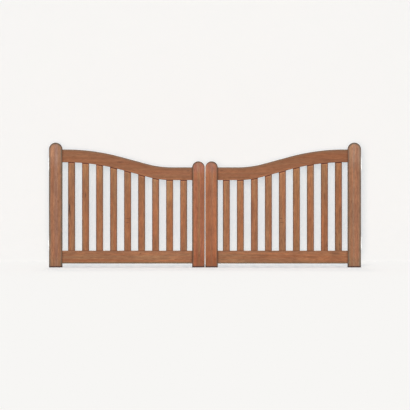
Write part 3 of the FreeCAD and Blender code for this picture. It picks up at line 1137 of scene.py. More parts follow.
def set_along(skin: Skin, start: np.ndarray, direction: np.ndarray) -> Skin:
    """Moves a skin made about z to an axis that starts at a point and runs in a direction.

    The new x, y and z are s, t and the direction, where s is square to the direction and t is
    the direction cross s, so the turn keeps the skin's outside outside.

    Args:
        skin: its points and faces.
        start: where the axis starts.
        direction: a unit vector.

    Returns:
        The moved skin.
    """
    points, faces = skin
    aside = np.array([0.0, 0.0, 1.0]) if abs(direction[2]) < 0.5 else np.array([1.0, 0.0, 0.0])
    first = np.cross(aside, direction)
    first = first / np.linalg.norm(first)
    return points @ np.array([first, np.cross(direction, first), direction]) + start, faces


def stand_in(
    node: str, ending: str, skins: Sequence[Skin], body: str, finish: bpy.types.Material
) -> None:
    """Puts closed skins into one new piece, at the origin, that takes a CAD node's place.

    Args:
        node: the CAD node.
        ending: what the piece's name adds to the node's.
        skins: the points and faces of each skin.
        body: the CAD body that it moves with.
        finish: its material.
    """
    name = f"{node}_{ending}"
    offsets = np.cumsum([0, *[len(points) for points, _ in skins]])
    points = np.concatenate([points for points, _ in skins])
    faces = [[i + offset for i in face] for (_, skin), offset in zip(skins, offsets) for face in skin]
    mesh = bpy.data.meshes.new(name)
    mesh.from_pydata(points.tolist(), [], faces)
    mesh.materials.append(finish)
    made = added(name, mesh)
    mesh.shade_smooth()
    mesh.set_sharp_from_angle(angle=SMOOTH_ANGLE)
    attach(made, body)
    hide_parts(node)
    log.info("%s, in %s, for %s", name, finish.name, node)


def dress(node: str, finish: bpy.types.Material) -> None:
    """Gives a CAD node its finish.

    Args:
        node: the CAD node.
        finish: its material.
    """
    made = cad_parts[node]
    if not made.material_slots:
        made.data.materials.append(finish)
    for slot in made.material_slots:
        slot.material = finish
    log.info("%s, in %s", node, finish.name)


def middle_and_half(node: str) -> tuple[Triple, Triple]:
    """The middle of a CAD node's box, and half its sizes."""
    low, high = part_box(node)
    return tuple((low + high) / 2), tuple((high - low) / 2)


@dataclass(frozen=True)
class WoodScrews:
    """The four countersunk screws of one plate, with cross recess and thread. Sizes in metres.

    Fields:
        head_radius: the head's radius.
        shank_radius: radius of the plain neck, and of the thread over its ridge.
        root_radius: radius of the thread in its groove.
        pitch: distance from ridge to ridge.
        plain_length: length of the head and the neck.
        tip_length: length of the point.
        rim: how far the head's edge is behind its face.
        recess_depth: depth of the cross.
        recess_slope: share of its depth that the cross has lost at the end of an arm.
        arm_length: length of an arm of the cross.
        arm_half_width: half its width.
        arm_fade: width of the slope at its edges.
        face_radii: the rings of the head's face.
        turn_steps: rings to one turn of the thread.
        round_count: points round a ring.
    """

    head_radius: float = 0.0042
    shank_radius: float = 0.0022
    root_radius: float = 0.0016
    pitch: float = 0.0020
    plain_length: float = 0.006
    tip_length: float = 0.005
    rim: float = 0.0001
    recess_depth: float = 0.0018
    recess_slope: float = 0.45
    arm_length: float = 0.0026
    arm_half_width: float = 0.00055
    arm_fade: float = 0.00025
    face_radii: tuple[float, ...] = (
        0.0003, 0.0006, 0.00085, 0.0011, 0.0015, 0.0019, 0.0023, 0.0026, 0.00285, 0.0033, 0.0039, 0.0041,
    )
    turn_steps: int = 5
    round_count: int = 40

    def head(self) -> np.ndarray:
        """Rings of the head's face, from the middle out.

        A point at radius r and angle a is sunk by the recess's depth, less what it is outside a
        cross: the smaller of the distances |r cos a| and |r sin a| past the arm's half width, and
        the radius past the arm's length, each fading over the same small width.

        Returns:
            Rings by points by 3, about z with the axis into the wood.
        """
        radius, angle = polar(np.array(self.face_radii), self.round_count)
        aside = np.minimum(abs(radius * np.cos(angle)), abs(radius * np.sin(angle)))
        in_arm = np.clip(1 - (aside - self.arm_half_width) / self.arm_fade, 0, 1)
        in_reach = np.clip(1 - (radius - self.arm_length) / self.arm_fade, 0, 1)
        deeper = np.clip(1 - self.recess_slope * radius / self.arm_length, 0, 1)
        return rings(radius, angle, self.recess_depth * in_arm * in_reach * deeper)

    def shank(self, bite: float) -> np.ndarray:
        """Rings of the cone, the plain neck, the thread and the point.

        The thread's radius is the root plus a ridge that rises and falls evenly as the turn s /
        pitch - a / (2 pi) goes by, and it shrinks in a straight line over the point.

        Args:
            bite: the screw's whole length.

        Returns:
            Rings by points by 3.
        """
        cone = self.head_radius - self.shank_radius
        step = self.pitch / self.turn_steps
        steps = np.arange(self.plain_length, bite - step, step)
        alongs = np.concatenate([[self.rim, cone, self.plain_length - 2 * self.rim], steps])
        plain = np.full(len(alongs), self.shank_radius)
        plain[0] = self.head_radius
        along, angle = polar(alongs, self.round_count)
        turn = (along / self.pitch - angle / (2 * math.pi)) % 1
        ridge = np.clip(1 - abs(turn - 0.5) * 4, 0, 1)
        taper = np.clip((bite - along) / self.tip_length, 0, 1)
        thread = (self.root_radius + (self.shank_radius - self.root_radius) * ridge) * taper
        return rings(np.where(along < self.plain_length, plain[:, None], thread), angle, along)

    def build(self, node: str, body: str, direction: np.ndarray, finish: bpy.types.Material) -> None:
        """Stands in for the four plain screws of a CAD node, whose box gives their places.

        Args:
            node: the CAD node.
            body: the CAD body that they move with.
            direction: the way they are driven.
            finish: their material.
        """
        low, high = (np.array(corner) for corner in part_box(node))
        axis = int(np.argmax(abs(direction)))
        across = [i for i in range(3) if i != axis]
        bite = float(high[axis] - low[axis])
        screw = lathe(np.concatenate([self.head(), self.shank(bite)]), self.recess_depth, bite)
        skins = []
        for first in (low[across[0]] + self.head_radius, high[across[0]] - self.head_radius):
            for second in (low[across[1]] + self.head_radius, high[across[1]] - self.head_radius):
                head = np.zeros(3)
                head[axis] = low[axis] if direction[axis] > 0 else high[axis]
                head[across] = (first, second)
                skins.append(set_along(screw, head, direction))
        stand_in(node, "threaded", skins, body, finish)


@dataclass(frozen=True)
class HingePin:
    """A hinge pin with a low domed head at each end. Sizes in metres.

    Fields:
        shank_radius: the pin's radius.
        head_radius: the heads' radius.
        head_height: the heads' height.
        rim: height of the straight part of a head's edge.
        dome_steps: rings of a dome.
        round_count: points round a ring.
    """

    shank_radius: float = 0.0035
    head_radius: float = 0.005
    head_height: float = 0.0025
    rim: float = 0.0006
    dome_steps: int = 9
    round_count: int = 48

    def build(self, node: str, finish: bpy.types.Material) -> None:
        """Stands in for the plain pin of a CAD node.

        The profile of a dome is a quarter of an ellipse: radius R sin b, and height H cos b.

        Args:
            node: the CAD node.
            finish: its material.
        """
        low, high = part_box(node)
        top = high.z - low.z
        turn = np.linspace(0.06, 1, self.dome_steps) * math.pi / 2
        dome = self.head_height - self.rim
        radii = [*(self.head_radius * np.sin(turn)), self.head_radius, self.shank_radius]
        lower = [*(dome - dome * np.cos(turn)), self.head_height, self.head_height]
        upper = [top - height for height in reversed(lower)]
        along, angle = polar(np.array([*lower, *upper]), self.round_count)
        radius = np.broadcast_to(np.array([*radii, *reversed(radii)])[:, None], along.shape)
        points, faces = lathe(rings(radius, angle, along), 0.0, top)
        start = np.array([(low.x + high.x) / 2, (low.y + high.y) / 2, low.z])
        stand_in(node, "domed", [(points + start, faces)], "post_side", finish)


@dataclass(frozen=True)
class BoltKnob:
    """The turned knob of a drop bolt, with a grooved grip. Sizes in metres.

    Fields:
        stem_radius: radius of the stem in the rod.
        stem_length: its length.
        neck_radius: radius of the knob's neck.
        neck_length: its length.
        rim: length of the step between the stem and the neck.
        grip_radius: radius of the grip.
        flare_length: length of the flare from the neck to the grip.
        grip_length: length of the grip.
        dome_height: height of the domed end.
        grooves: how many grooves the grip has.
        groove_depth: their depth.
        flare_steps: rings of the flare.
        grip_steps: rings of the grip.
        dome_steps: rings of the dome.
        round_count: points round a ring.
    """

    stem_radius: float = 0.003
    stem_length: float = 0.007
    neck_radius: float = 0.0045
    neck_length: float = 0.003
    rim: float = 0.0001
    grip_radius: float = 0.008
    flare_length: float = 0.010
    grip_length: float = 0.006
    dome_height: float = 0.003
    grooves: int = 28
    groove_depth: float = 0.00035
    flare_steps: int = 13
    grip_steps: int = 6
    dome_steps: int = 9
    round_count: int = 112

    def build(self, node: str, body: str, finish: bpy.types.Material) -> None:
        """Stands in for the plain knob of a CAD node.

        Going outwards, the flare's radius rises by an even S curve, the grip is a cylinder whose
        radius dips once for each groove, and the end is an ellipse's quarter.

        Args:
            node: the CAD node.
            body: the CAD body that it moves with.
            finish: its material.
        """
        grip_start = self.neck_length + self.flare_length
        grip_end = grip_start + self.grip_length
        end = grip_end + self.dome_height
        share = np.linspace(0, 1, self.flare_steps)
        curve = share * share * (3 - 2 * share)
        grip = np.linspace(0.12, 0.95, self.grip_steps)
        turn = np.linspace(0.08, 0.96, self.dome_steps) * math.pi / 2
        steps = (
            ([-self.stem_length, 0, self.rim], [self.stem_radius, self.stem_radius, self.neck_radius]),
            (
                self.neck_length + self.flare_length * share,
                self.neck_radius + (self.grip_radius - self.neck_radius) * curve,
            ),
            (grip_start + self.grip_length * grip, np.full(self.grip_steps, self.grip_radius)),
            (grip_end + self.dome_height * np.sin(turn), self.grip_radius * np.cos(turn)),
        )
        alongs, radii = (np.concatenate(part) for part in zip(*steps))
        along, angle = polar(alongs, self.round_count)
        on_grip = (along > grip_start) & (along < grip_end)
        dips = np.clip(np.cos(angle * self.grooves), 0, 1) * self.groove_depth
        knob = lathe(rings(radii[:, None] - dips * on_grip, angle, along), -self.stem_length, end)
        low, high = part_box(node)
        start = np.array([(low.x + high.x) / 2, high.y - end, (low.z + high.z) / 2])
        skins = [set_along(knob, start, np.array([0.0, 1.0, 0.0]))]
        stand_in(node, "grooved", skins, body, finish)


@dataclass(frozen=True)
class Hardware:
    """The hinges and the drop bolt of one leaf.

    Fields:
        side: which leaf it is.
        hinge_steel: the finish of the hinge plates.
        bolt_steel: the finish of the bolt's plate and knob.
        rod_steel: the finish of the hinge pins and the bolt's rod.
        screw_steel: the finish of the screws.
    """

    side: Side
    hinge_steel: bpy.types.Material
    bolt_steel: bpy.types.Material
    rod_steel: bpy.types.Material
    screw_steel: bpy.types.Material

    def build(self) -> None:
        """Dresses the plates and the rod, and builds the screws, the pins and the knob."""
        side = self.side.word
        leaf = f"{side}_leaf"
        inwards = np.array([-self.side.value, 0.0, 0.0])
        for level in ("upper", "lower"):
            dress(f"{side}_{level}_gate_plate", self.hinge_steel)
            dress(f"{side}_{level}_post_plate", self.hinge_steel)
            HingePin().build(f"{side}_{level}_hinge_pin", self.rod_steel)
            WoodScrews().build(f"{side}_{level}_hinge_screws", leaf, inwards, self.screw_steel)
        dress(f"{side}_bolt_plate", self.bolt_steel)
        dress(f"{side}_bolt_rod", self.rod_steel)
        forwards = np.array([0.0, -1.0, 0.0])
        WoodScrews().build(f"{side}_bolt_screws", leaf, forwards, self.screw_steel)
        BoltKnob().build(f"{side}_bolt_knob", f"{side}_drop_bolt", self.bolt_steel)


@dataclass(frozen=True)
class Batch:
    """The batch of hardwood that both leaves are cut from: a colour for each kind of board.

    Fields:
        stile: the stiles' colour.
        rail: the rails' colour.
        slat: the slats' colour.
        peg: the pegs' colour.
    """

    stile: Triple = linear(162, 105, 68)
    rail: Triple = linear(161, 105, 68)
    slat: Triple = linear(164, 106, 65)
    peg: Triple = linear(120, 76, 52)


@dataclass(frozen=True)
class Choice:
    """The boards that were picked for one leaf.

    Fields:
        hinge_stile: the tall stile's board.
        meeting_stile: the short stile's board.
        bottom_rail: the bottom rail's board.
        top_rail: the top rail's board.
        slat_tones: the tone of each slat, from the hinge stile in.
        slat_marks: the knots and streaks of some slats, by the slat's number.
    """

    hinge_stile: Pick
    meeting_stile: Pick
    bottom_rail: Pick
    top_rail: Pick
    slat_tones: tuple[Tone, ...]
    slat_marks: Mapping[int, tuple[Knot, ...]]


HINGE_STILE = Pick(
    tone=Tone.GREYED,
    fades=(Fade(0.904, 0.76, (1.24, 1.48, 1.80)), Fade(0.03, 0.11, (0.90, 1.0, 1.0))),
    arris=Arris(0.006, 0.019, 0.70, (0.26, 0.68, 0.82)),
)
MEETING_STILE = Pick(
    fades=(
        Fade(0.84, 0.60, (1.08, 1.16, 1.28)),
        Fade(0.80, 0.73, (1.01, 1.06, 1.48)),
        Fade(0.05, 0.19, (0.80, 0.68, 0.50)),
    ),
    arris=Arris(0.006, 0.019, 0.60, (0.30, 0.68, 0.82), 0.0048, 0.0095),
)
BOTTOM_RAIL = Pick(
    tone=Tone.HONEY,
    # The stripes make a darker line along the upper edge and a paler line just under it
    stripes=(Stripe(0.0465, 0.0060, (0.78, 0.86, 0.98)), Stripe(0.0365, 0.0050, (1.07, 1.12, 1.22))),
    arris=Arris(0.006, 0.020, 0.60, (0.35, 0.80, 1.00)),
)
TOP_RAIL = Pick(
    tone=Tone.DARK,
    # The stripes darken the rail towards its upper edge and make a paler band along its lower edge
    stripes=(Stripe(0.046, 0.026, (0.84, 0.82, 0.80)), Stripe(-0.045, 0.011, (1.36, 1.32, 1.26))),
    arris=Arris(0.008, 0.018, 0.50, (0.86, 1.40, 2.00)),
    figure=0.55,
)
SLAT = Pick(fades=(Fade(0.15, 0.30, (0.94, 0.96, 0.97)),))

LEFT = Choice(
    hinge_stile=replace(HINGE_STILE, stripes=(
        Stripe(-0.024, 0.012, (1.10, 0.98, 0.82)),
        Stripe(0.004, 0.015, (0.90, 0.99, 1.24)),
        Stripe(0.028, 0.010, (0.98, 0.94, 0.72)),
        Stripe(0.041, 0.008, (1.14, 1.06, 1.00)),
    )),
    meeting_stile=replace(MEETING_STILE, tone=Tone.GLOWING, stripes=(
        Stripe(-0.024, 0.014, (1.14, 0.94, 0.96)),
        Stripe(0.005, 0.009, (0.84, 1.06, 0.92)),
        Stripe(0.023, 0.012, (1.06, 0.84, 0.92)),
        Stripe(0.036, 0.008, (1.14, 1.04, 1.12)),
    )),
    bottom_rail=replace(
        BOTTOM_RAIL, knots=(Knot(-0.517, 0.112, 0.009, 1.2, 0.55), Knot(-1.07, 0.116, 0.011, 5.0, 0.35))
    ),
    top_rail=replace(
        TOP_RAIL, knots=(Knot(-0.68, 0.845, 0.014, 2.4, 0.25), Knot(-0.134, 0.775, 0.007, 2.4, 0.40))
    ),
    slat_tones=(
        Tone.ROSY, Tone.PLAIN, Tone.PALE, Tone.PLAIN, Tone.PLAIN, Tone.PLAIN, Tone.PLAIN, Tone.SUNNY,
        Tone.PLAIN,
    ),
    slat_marks={
        1: (
            Knot(0.475, -0.0165, 0.0105, 5.0, 1.00),
            Knot(0.425, -0.011, 0.0070, 10.0, 0.48),
            Knot(0.250, -0.022, 0.0080, 16.0, 0.45),
        ),
        2: (Knot(0.578, 0.000, 0.0065, 4.0, 0.65),),
        5: (
            Knot(0.392, 0.000, 0.0240, 0.2, 0.50),
            Knot(0.360, 0.000, 0.0240, 0.2, 0.50),
            Knot(0.392, 0.018, 0.0060, 1.4, 0.45),
        ),
        6: (Knot(0.610, -0.024, 0.0040, 14.0, 0.45), Knot(0.250, 0.002, 0.0060, 3.0, 0.35)),
        7: (Knot(0.460, 0.0255, 0.0060, 80.0, 0.50),),
        8: (Knot(0.215, 0.006, 0.0070, 3.0, 0.25),),
        9: (Knot(0.460, 0.0255, 0.0060, 80.0, 0.50), Knot(0.190, -0.004, 0.0080, 2.0, 0.32)),
    },
)
RIGHT = Choice(
    hinge_stile=replace(HINGE_STILE, stripes=(
        Stripe(-0.047, 0.008, (1.16, 0.98, 1.06)),
        Stripe(-0.030, 0.012, (0.94, 0.98, 0.82)),
        Stripe(0.012, 0.014, (1.06, 0.98, 0.90)),
        Stripe(0.034, 0.010, (0.98, 1.10, 1.20)),
    )),
    meeting_stile=replace(MEETING_STILE, tone=Tone.RUDDY, stripes=(
        Stripe(-0.022, 0.012, (1.02, 0.90, 0.66)),
        Stripe(-0.001, 0.011, (0.92, 1.02, 1.10)),
        Stripe(0.024, 0.012, (1.14, 0.98, 0.76)),
        # This stripe is a painted highlight on the arris beside the gap between the leaves
        Stripe(-0.049, 0.0055, (1.90, 2.50, 2.10)),
    )),
    bottom_rail=replace(
        BOTTOM_RAIL, knots=(Knot(1.045, 0.114, 0.012, 5.0, 0.35), Knot(1.09, 0.048, 0.006, 8.0, 0.35))
    ),
    top_rail=replace(TOP_RAIL, knots=(Knot(0.134, 0.775, 0.007, 2.4, 0.28),)),
    slat_tones=(
        Tone.DUSKY, Tone.DUSKY, Tone.PALE, Tone.LIGHT, Tone.PALE, Tone.PALE, Tone.PALE, Tone.OLIVE,
        Tone.PALE,
    ),
    slat_marks={
        1: (
            Knot(0.190, 0.008, 0.0060, 8.0, 0.45),
            Knot(0.147, 0.012, 0.0090, 1.0, 0.75),
            Knot(0.380, 0.011, 0.0055, 35.0, 0.25),
        ),
        2: (Knot(0.560, 0.001, 0.0050, 8.0, 0.45), Knot(0.188, 0.015, 0.0055, 6.0, 0.50)),
        5: (Knot(0.392, -0.012, 0.0180, 0.25, 0.55), Knot(0.360, -0.006, 0.0240, 0.2, 0.50)),
        6: (Knot(0.610, 0.024, 0.0040, 14.0, 0.45), Knot(0.170, -0.003, 0.0070, 2.4, 0.30)),
        7: (Knot(0.460, -0.0255, 0.0060, 80.0, 0.50),),
        9: (Knot(0.460, -0.0255, 0.0060, 80.0, 0.50), Knot(0.172, 0.000, 0.0100, 1.0, 0.40)),
    },
)


@dataclass(frozen=True)
class Leaf:
    """One leaf's timber.

    Fields:
        side: which leaf it is.
        choice: the boards that were picked for it.
        batch: the wood that it is cut from.
        wave: the line of its top rail.
        rail_depth: height of the top rail, in metres.
        bottom_rail_top: height of the bottom rail's upper edge.
        hinge_shoulder: distance from the middle of the pair to the hinge stile's inner edge.
        grain_height: how far above the wave's lower end the top rail's grain has its middle.
    """

    side: Side
    choice: Choice
    batch: Batch = Batch()
    wave: Wave = Wave()
    rail_depth: float = 0.102
    bottom_rail_top: float = 0.134
    hinge_shoulder: float = 1.145
    grain_height: float = 0.02

    def node(self, name: str) -> str:
        """A node's whole name."""
        return f"{self.side.word}_{name}"

    def oil(self, name: str, base: Triple, board: Board, pick: Pick) -> None:
        """Dresses one board in its wood."""
        dress(self.node(name), Hardwood(self.node(name), base, board, pick).material())

    def stiles(self) -> None:
        """Dresses the two stiles, whose grain is upright under a half-round top."""
        # Painted shade in the inner corner of the hinge stile's foot, under the bottom rail, set in as a
        # dark knot
        corner_shade_knot = Knot(0.022, self.side.value * self.hinge_shoulder, 0.015, 1.2, 1.0)
        hinge_stile = replace(self.choice.hinge_stile, knots=(corner_shade_knot,))
        for name, pick, pale_edge in (
            ("hinge_stile", hinge_stile, 0.0),
            ("meeting_stile", self.choice.meeting_stile, -self.side.value),
        ):
            middle, (half_x, half_y, half_z) = middle_and_half(self.node(name))
            board = Board(
                Run.UPRIGHT,
                middle,
                half_z,
                half_x,
                half_y,
                self.side,
                round_top=True,
                pale_edge=pale_edge,
            )
            self.oil(name, self.batch.stile, board, pick)

    def rails(self) -> None:
        """Dresses the two rails, whose grain is level."""
        half_run = self.wave.run / 2
        middle_x = self.side.value * (self.hinge_shoulder - half_run)
        (_, y, z), (_, half_y, half_z) = middle_and_half(self.node("bottom_rail"))
        place = (middle_x, y, z)
        board = Board(Run.LEVEL, place, half_run, half_z, half_y, self.side, pale_edge=1.0)
        self.oil("bottom_rail", self.batch.rail, board, self.choice.bottom_rail)

        (_, y, _), (_, half_y, _) = middle_and_half(self.node("top_rail"))
        place = (middle_x, y, self.wave.low + self.grain_height)
        half_z = self.rail_depth / 2
        board = Board(
            Run.LEVEL, place, half_run, half_z, half_y, self.side, wave=self.wave, pale_edge=-1.0
        )
        self.oil("top_rail", self.batch.rail, board, self.choice.top_rail)

    def slats(self) -> None:
        """Dresses the slats, each a board of its own."""
        for count, tone in enumerate(self.choice.slat_tones, 1):
            name = f"slat_{count}"
            middle, (half_x, half_y, half_z) = middle_and_half(self.node(name))
            inward = self.hinge_shoulder - abs(middle[0])
            edges = inward + np.array([-half_x, 0.0, half_x])
            outer, here, inner = self.wave.height(edges) - self.rail_depth
            slope = -self.side.value * (inner - outer) / (2 * half_x)
            joints = Joints(self.bottom_rail_top, float(here), float(slope))
            board = Board(Run.UPRIGHT, middle, half_z, half_x, half_y, self.side, joints=joints)
            marks = self.choice.slat_marks.get(count, ())
            knots = tuple(replace(mark, across=middle[0] + mark.across) for mark in marks)
            self.oil(name, self.batch.slat, board, replace(SLAT, tone=tone, knots=knots))

    def build(self) -> None:
        """Dresses all the timber of the leaf, and the pegs, whose ends show at the back."""
        self.stiles()
        self.rails()
        self.slats()
        pegs = self.node("tenon_pegs")
        dress(pegs, EndGrain(pegs, self.batch.peg).material())


def light_only(lamp: bpy.types.Object, lit: Sequence[bpy.types.Object]) -> None:
    """Lets a lamp light some objects alone.

    Args:
        lamp: the lamp.
        lit: the objects.
    """
    group = bpy.data.collections.new(f"{lamp.name}_falls_on")
    for receiver in lit:
        group.objects.link(receiver)
    lamp.light_linking.receiver_collection = group


def lay_sheet(
    name: str, line: np.ndarray, half_width: float, paint: bpy.types.Material
) -> bpy.types.Object:
    """Lays one sheet that isn't part of the object.

    Args:
        name: the sheet's name.
        line: its side view from the front back, points by y and z, which is carried along x.
        half_width: half its width.
        paint: its material.

    Returns:
        The object, facing up and to the front.
    """
    ends = np.array([-half_width, half_width])
    points = np.array([[(x, y, z) for x in ends] for y, z in line])
    start = 2 * np.arange(len(line) - 1)
    faces = np.stack([start, start + 1, start + 3, start + 2], axis=-1)
    mesh = bpy.data.meshes.new(name)
    mesh.from_pydata(points.reshape(-1, 3).tolist(), [], faces.tolist())
    mesh.materials.append(paint)
    mesh.shade_smooth()
    made = added(name, mesh)
    made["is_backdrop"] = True
    return made


@dataclass(frozen=True)
class Sun:
    """Even light in one direction.

    Fields:
        name: the lamp's name.
        towards: the direction that the light goes.
        strength: the share of white that it gives a surface square to it.
        spread: the angle over which it softens shadows, in degrees.
    """

    name: str
    towards: Triple
    strength: float
    spread: float

    def on(self, facing: Triple) -> float:
        """The light on a surface that faces that way, in shares of white."""
        way = Vector(self.towards).normalized()
        return self.strength * max(-way.dot(Vector(facing)), 0.0)

    def build(self, lit: Sequence[bpy.types.Object]) -> None:
        """Adds the lamp.

        Args:
            lit: what it lights.
        """
        lamp = bpy.data.lights.new(self.name, "SUN")
        lamp.energy = self.strength * math.pi
        lamp.angle = math.radians(self.spread)
        made = added(self.name, lamp)
        made.rotation_euler = Vector(self.towards).to_track_quat("-Z", "Y").to_euler()
        light_only(made, lit)


@dataclass(frozen=True)
class Paint:
    """A pale matt paint that adds a little light of its own, only for the eye.

    Fields:
        name: the material's name.
        matt: the share of its light that it shows.
        scatter: the share of its light that it gives back to the object.
        glows: the added light at even steps of height from the ground, or one for a flat floor.
        top: the height of the last step.
        one_sided: whether it can't be seen from behind.
    """

    name: str
    matt: Triple
    scatter: float
    glows: tuple[Triple, ...]
    top: float = 1.0
    one_sided: bool = False

    def material(self) -> bpy.types.Material:
        """Makes the material.

        Returns:
            The material.
        """
        recipe = Recipe(bpy.data.materials.new(self.name))
        glow = self.glows[0]
        if len(self.glows) > 1:
            steps = np.linspace(0, 1, len(self.glows)).tolist()
            glow = recipe.ramp(recipe.place()[2] / self.top, list(zip(steps, self.glows)))
        shown = recipe.value("ShaderNodeBsdfDiffuse", {"Color": self.matt})
        given = recipe.value("ShaderNodeBsdfDiffuse", {"Color": (self.scatter,) * 3})
        light = recipe.value("ShaderNodeEmission", {"Color": glow, "Strength": 1.0})
        both = recipe.value("ShaderNodeAddShader", {0: shown, 1: light})
        surface = recipe.value("ShaderNodeMixShader", {0: recipe.seen(), 1: given, 2: both})
        if self.one_sided:
            back = recipe.value("ShaderNodeNewGeometry", output="Backfacing")
            clear = recipe.value("ShaderNodeBsdfTransparent")
            surface = recipe.value("ShaderNodeMixShader", {0: back, 1: surface, 2: clear})
        return recipe.finish(surface)


@dataclass(frozen=True)
class Studio:
    """A pale floor, a pale wall well behind the leaves, soft light, and the camera.

    Fields:
        pale: the colour that floor, wall and world show to the camera.
        sky: strength of the even light from all round.
        front: light from beside the camera on the object and the wall, with the wall's shadow.
        above: soft light from above the front on the object and the wall.
        behind: soft light from above the back on the object.
        on_floor: soft light on the floor, with the shadows under the rails and before the feet.
        scatter: share of its light that the floor gives back to the object.
        matt: share of its light that the floor or the wall shows to the camera, a little warm,
            so that the shadows of the red wood look neutral.
        wall_loss: the light that the wall's corners and the leaves keep from it.
        camera_height: height of the camera's level line of sight, in metres.
        seen_width: width of the picture, at the front of the stiles.
        lens: focal length in millimetres.
        sensor: width of the sensor in millimetres.
        lamp_aside: how far the front lamp is to the left of the camera, and above it.
        lamp_width: the front lamp's diameter.
        wall_y: how far the wall stands behind the leaves, clear of their swing.
        wall_half_width: half the wall's width.
        wall_height: the wall's height.
        cove: radius of the round between the floor and the wall.
        cove_steps: points along that round.
        floor_half_width: half the floor's width.
        floor_gap: how far the floor is under the stiles' feet, and the wall's foot over them.
    """

    pale: Triple = linear(247, 246, 244)
    sky: float = 0.34
    front: float = 0.46
    above: Sun = Sun("upper_light", (0.30, 0.72, -0.95), 0.24, 32.0)
    behind: Sun = Sun("rear_light", (-0.10, -0.80, -0.62), 0.62, 24.0)
    on_floor: tuple[Sun, Sun] = (
        Sun("floor_light_from_the_front", (0.06, 0.62, -0.78), 0.36, 16.0),
        Sun("floor_light_from_the_back", (0.03, -0.62, -0.78), 0.13, 14.0),
    )
    scatter: float = 0.50
    matt: Triple = (1.0, 0.84, 0.72)
    wall_loss: float = 0.026
    camera_height: float = 0.5003
    seen_width: float = 3.285
    lens: float = 150.0
    sensor: float = 36.0
    lamp_aside: tuple[float, float] = (0.09, 0.16)
    lamp_width: float = 0.98
    wall_y: float = 1.75
    wall_half_width: float = 3.0
    wall_height: float = 2.5
    cove: float = 0.35
    cove_steps: int = 25
    floor_half_width: float = 60.0
    floor_gap: float = 0.0004

    def distance(self) -> float:
        """How far the camera is from the front of the stiles."""
        return self.seen_width * self.lens / self.sensor

    def camera_y(self) -> float:
        """The camera's y."""
        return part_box("left_hinge_stile")[0].y - self.distance()

    def floor_light(self) -> float:
        """The light on the open floor, in shares of white."""
        return self.sky + sum(sun.on((0.0, 0.0, 1.0)) for sun in self.on_floor)

    def wall_light(self, tilt: float) -> float:
        """The light on the wall and its cove, in shares of white.

        The sky counts for (1 + cos t) / 2, the floor for (1 - cos t) / 2, the front lamp for
        sin t, plus cos t times how steeply it looks down, and the square of how much further the
        wall is, and the sun for its own angle.

        Args:
            tilt: how far it is tilted up from the floor, the angle t in radians.

        Returns:
            The light with nothing in its way.
        """
        further = (self.distance() / (self.distance() + self.wall_y)) ** 2
        share = (1 + math.cos(tilt)) / 2
        even = self.sky * share + self.scatter * self.floor_light() * (1 - share)
        sun = self.above.on((0.0, -math.sin(tilt), math.cos(tilt)))
        down = (self.camera_height + self.lamp_aside[1]) / self.distance()
        lamp = self.front * further * (math.sin(tilt) + down * math.cos(tilt))
        return even + lamp - self.wall_loss * math.sin(tilt) + sun

    def glow(self, light: float) -> Triple:
        """What the backdrop lacks to the pale colour, under some light."""
        return tuple(max(part - matt * light, 0.0) for part, matt in zip(self.pale, self.matt))

    def backdrops(self) -> tuple[bpy.types.Object, bpy.types.Object]:
        """Makes the floor, and the wall with its cove, which only the eye sees.

        Returns:
            The floor and the wall.
        """
        far, low = self.floor_half_width, -self.floor_gap
        paint = Paint("floor_paint", self.matt, self.scatter, (self.glow(self.floor_light()),))
        floor = lay_sheet("studio_floor", np.array([(-far, low), (far, low)]), far, paint.material())
        share = np.linspace(0, 1, self.cove_steps)
        turn = share * math.pi / 2
        y = self.wall_y - self.cove + self.cove * np.sin(turn)
        z = self.cove * (1 - np.cos(turn)) + self.floor_gap
        line = np.concatenate([np.stack([y, z], axis=-1), [[self.wall_y, self.wall_height]]])
        glows = tuple(self.glow(self.wall_light(tilt)) for tilt in np.arccos(1 - share).tolist())
        paint = Paint("wall_paint", self.matt, self.scatter, glows, self.cove, one_sided=True)
        wall = lay_sheet("studio_wall", line, self.wall_half_width, paint.material())
        wall.visible_shadow = False
        wall.visible_diffuse = False
        return floor, wall

    def front_lamp(self, lit: Sequence[bpy.types.Object]) -> None:
        """Adds the round lamp beside the camera.

        Args:
            lit: what it lights.
        """
        lamp = bpy.data.lights.new("front_light", "AREA")
        lamp.shape = "DISK"
        lamp.size = self.lamp_width
        lamp.energy = self.front * (math.pi * self.distance()) ** 2
        made = added("front_light", lamp)
        aside, over = self.lamp_aside
        made.location = (-aside, self.camera_y(), self.camera_height + over)
        made.rotation_euler = (math.pi / 2, 0.0, 0.0)
        light_only(made, lit)

    def world(self) -> None:
        """Gives the world even light, and the pale colour where it is seen."""
        recipe = Recipe(bpy.data.worlds.new("studio_light"))
        even = recipe.value("ShaderNodeBackground", {"Color": (1.0, 1.0, 1.0), "Strength": self.sky})
        pale = recipe.value("ShaderNodeBackground", {"Color": self.pale, "Strength": 1.0})
        both = recipe.value("ShaderNodeMixShader", {0: recipe.seen(), 1: even, 2: pale})
        bpy.context.scene.world = recipe.finish(both)

    def camera(self) -> None:
        """Sets the camera level, square to the leaves and in line with their middle."""
        camera = bpy.data.cameras.new("camera")
        camera.lens = self.lens
        camera.sensor_width = self.sensor
        camera.clip_end = 4 * self.floor_half_width
        made = added("camera", camera)
        made.location = (0.0, self.camera_y(), self.camera_height)
        made.rotation_euler = (math.pi / 2, 0.0, 0.0)
        bpy.context.scene.camera = made

    def build(self) -> None:
        """Sets up everything round the object."""
        floor, wall = self.backdrops()
        self.world()
        self.above.build((wall, *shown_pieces()))
        self.behind.build(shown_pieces())
        for sun in self.on_floor:
            sun.build((floor,))
        self.front_lamp((wall, *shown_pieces()))
        self.camera()
        bpy.context.scene.view_settings.view_transform = "Standard"
        log.info("studio: floor, wall, world, 5 lamps and the camera")


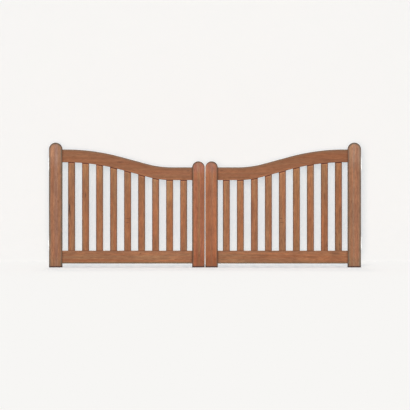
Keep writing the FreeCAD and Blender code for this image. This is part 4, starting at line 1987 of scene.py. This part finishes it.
def main() -> None:
    """Builds the leaves, their hardware and the studio."""
    logging.basicConfig(level=logging.INFO, format="%(message)s")
    hinge = Steel("hinge_steel", (0.56, 0.56, 0.55), 0.30, Pattern.UPRIGHT_BRUSHING).material()
    bolt = Steel("bolt_steel", (0.52, 0.53, 0.54), 0.40, Pattern.UPRIGHT_BRUSHING, 0.35).material()
    rod = Steel("rod_steel", (0.56, 0.57, 0.57), 0.26, Pattern.ROUND_BRUSHING).material()
    screw = Steel("screw_steel", (0.60, 0.60, 0.58), 0.28, Pattern.ROUND_BRUSHING).material()
    for side, choice in ((Side.LEFT, LEFT), (Side.RIGHT, RIGHT)):
        Leaf(side, choice).build()
        Hardware(side, hinge, bolt, rod, screw).build()
    Studio().build()


if __name__ == "__main__":
    main()
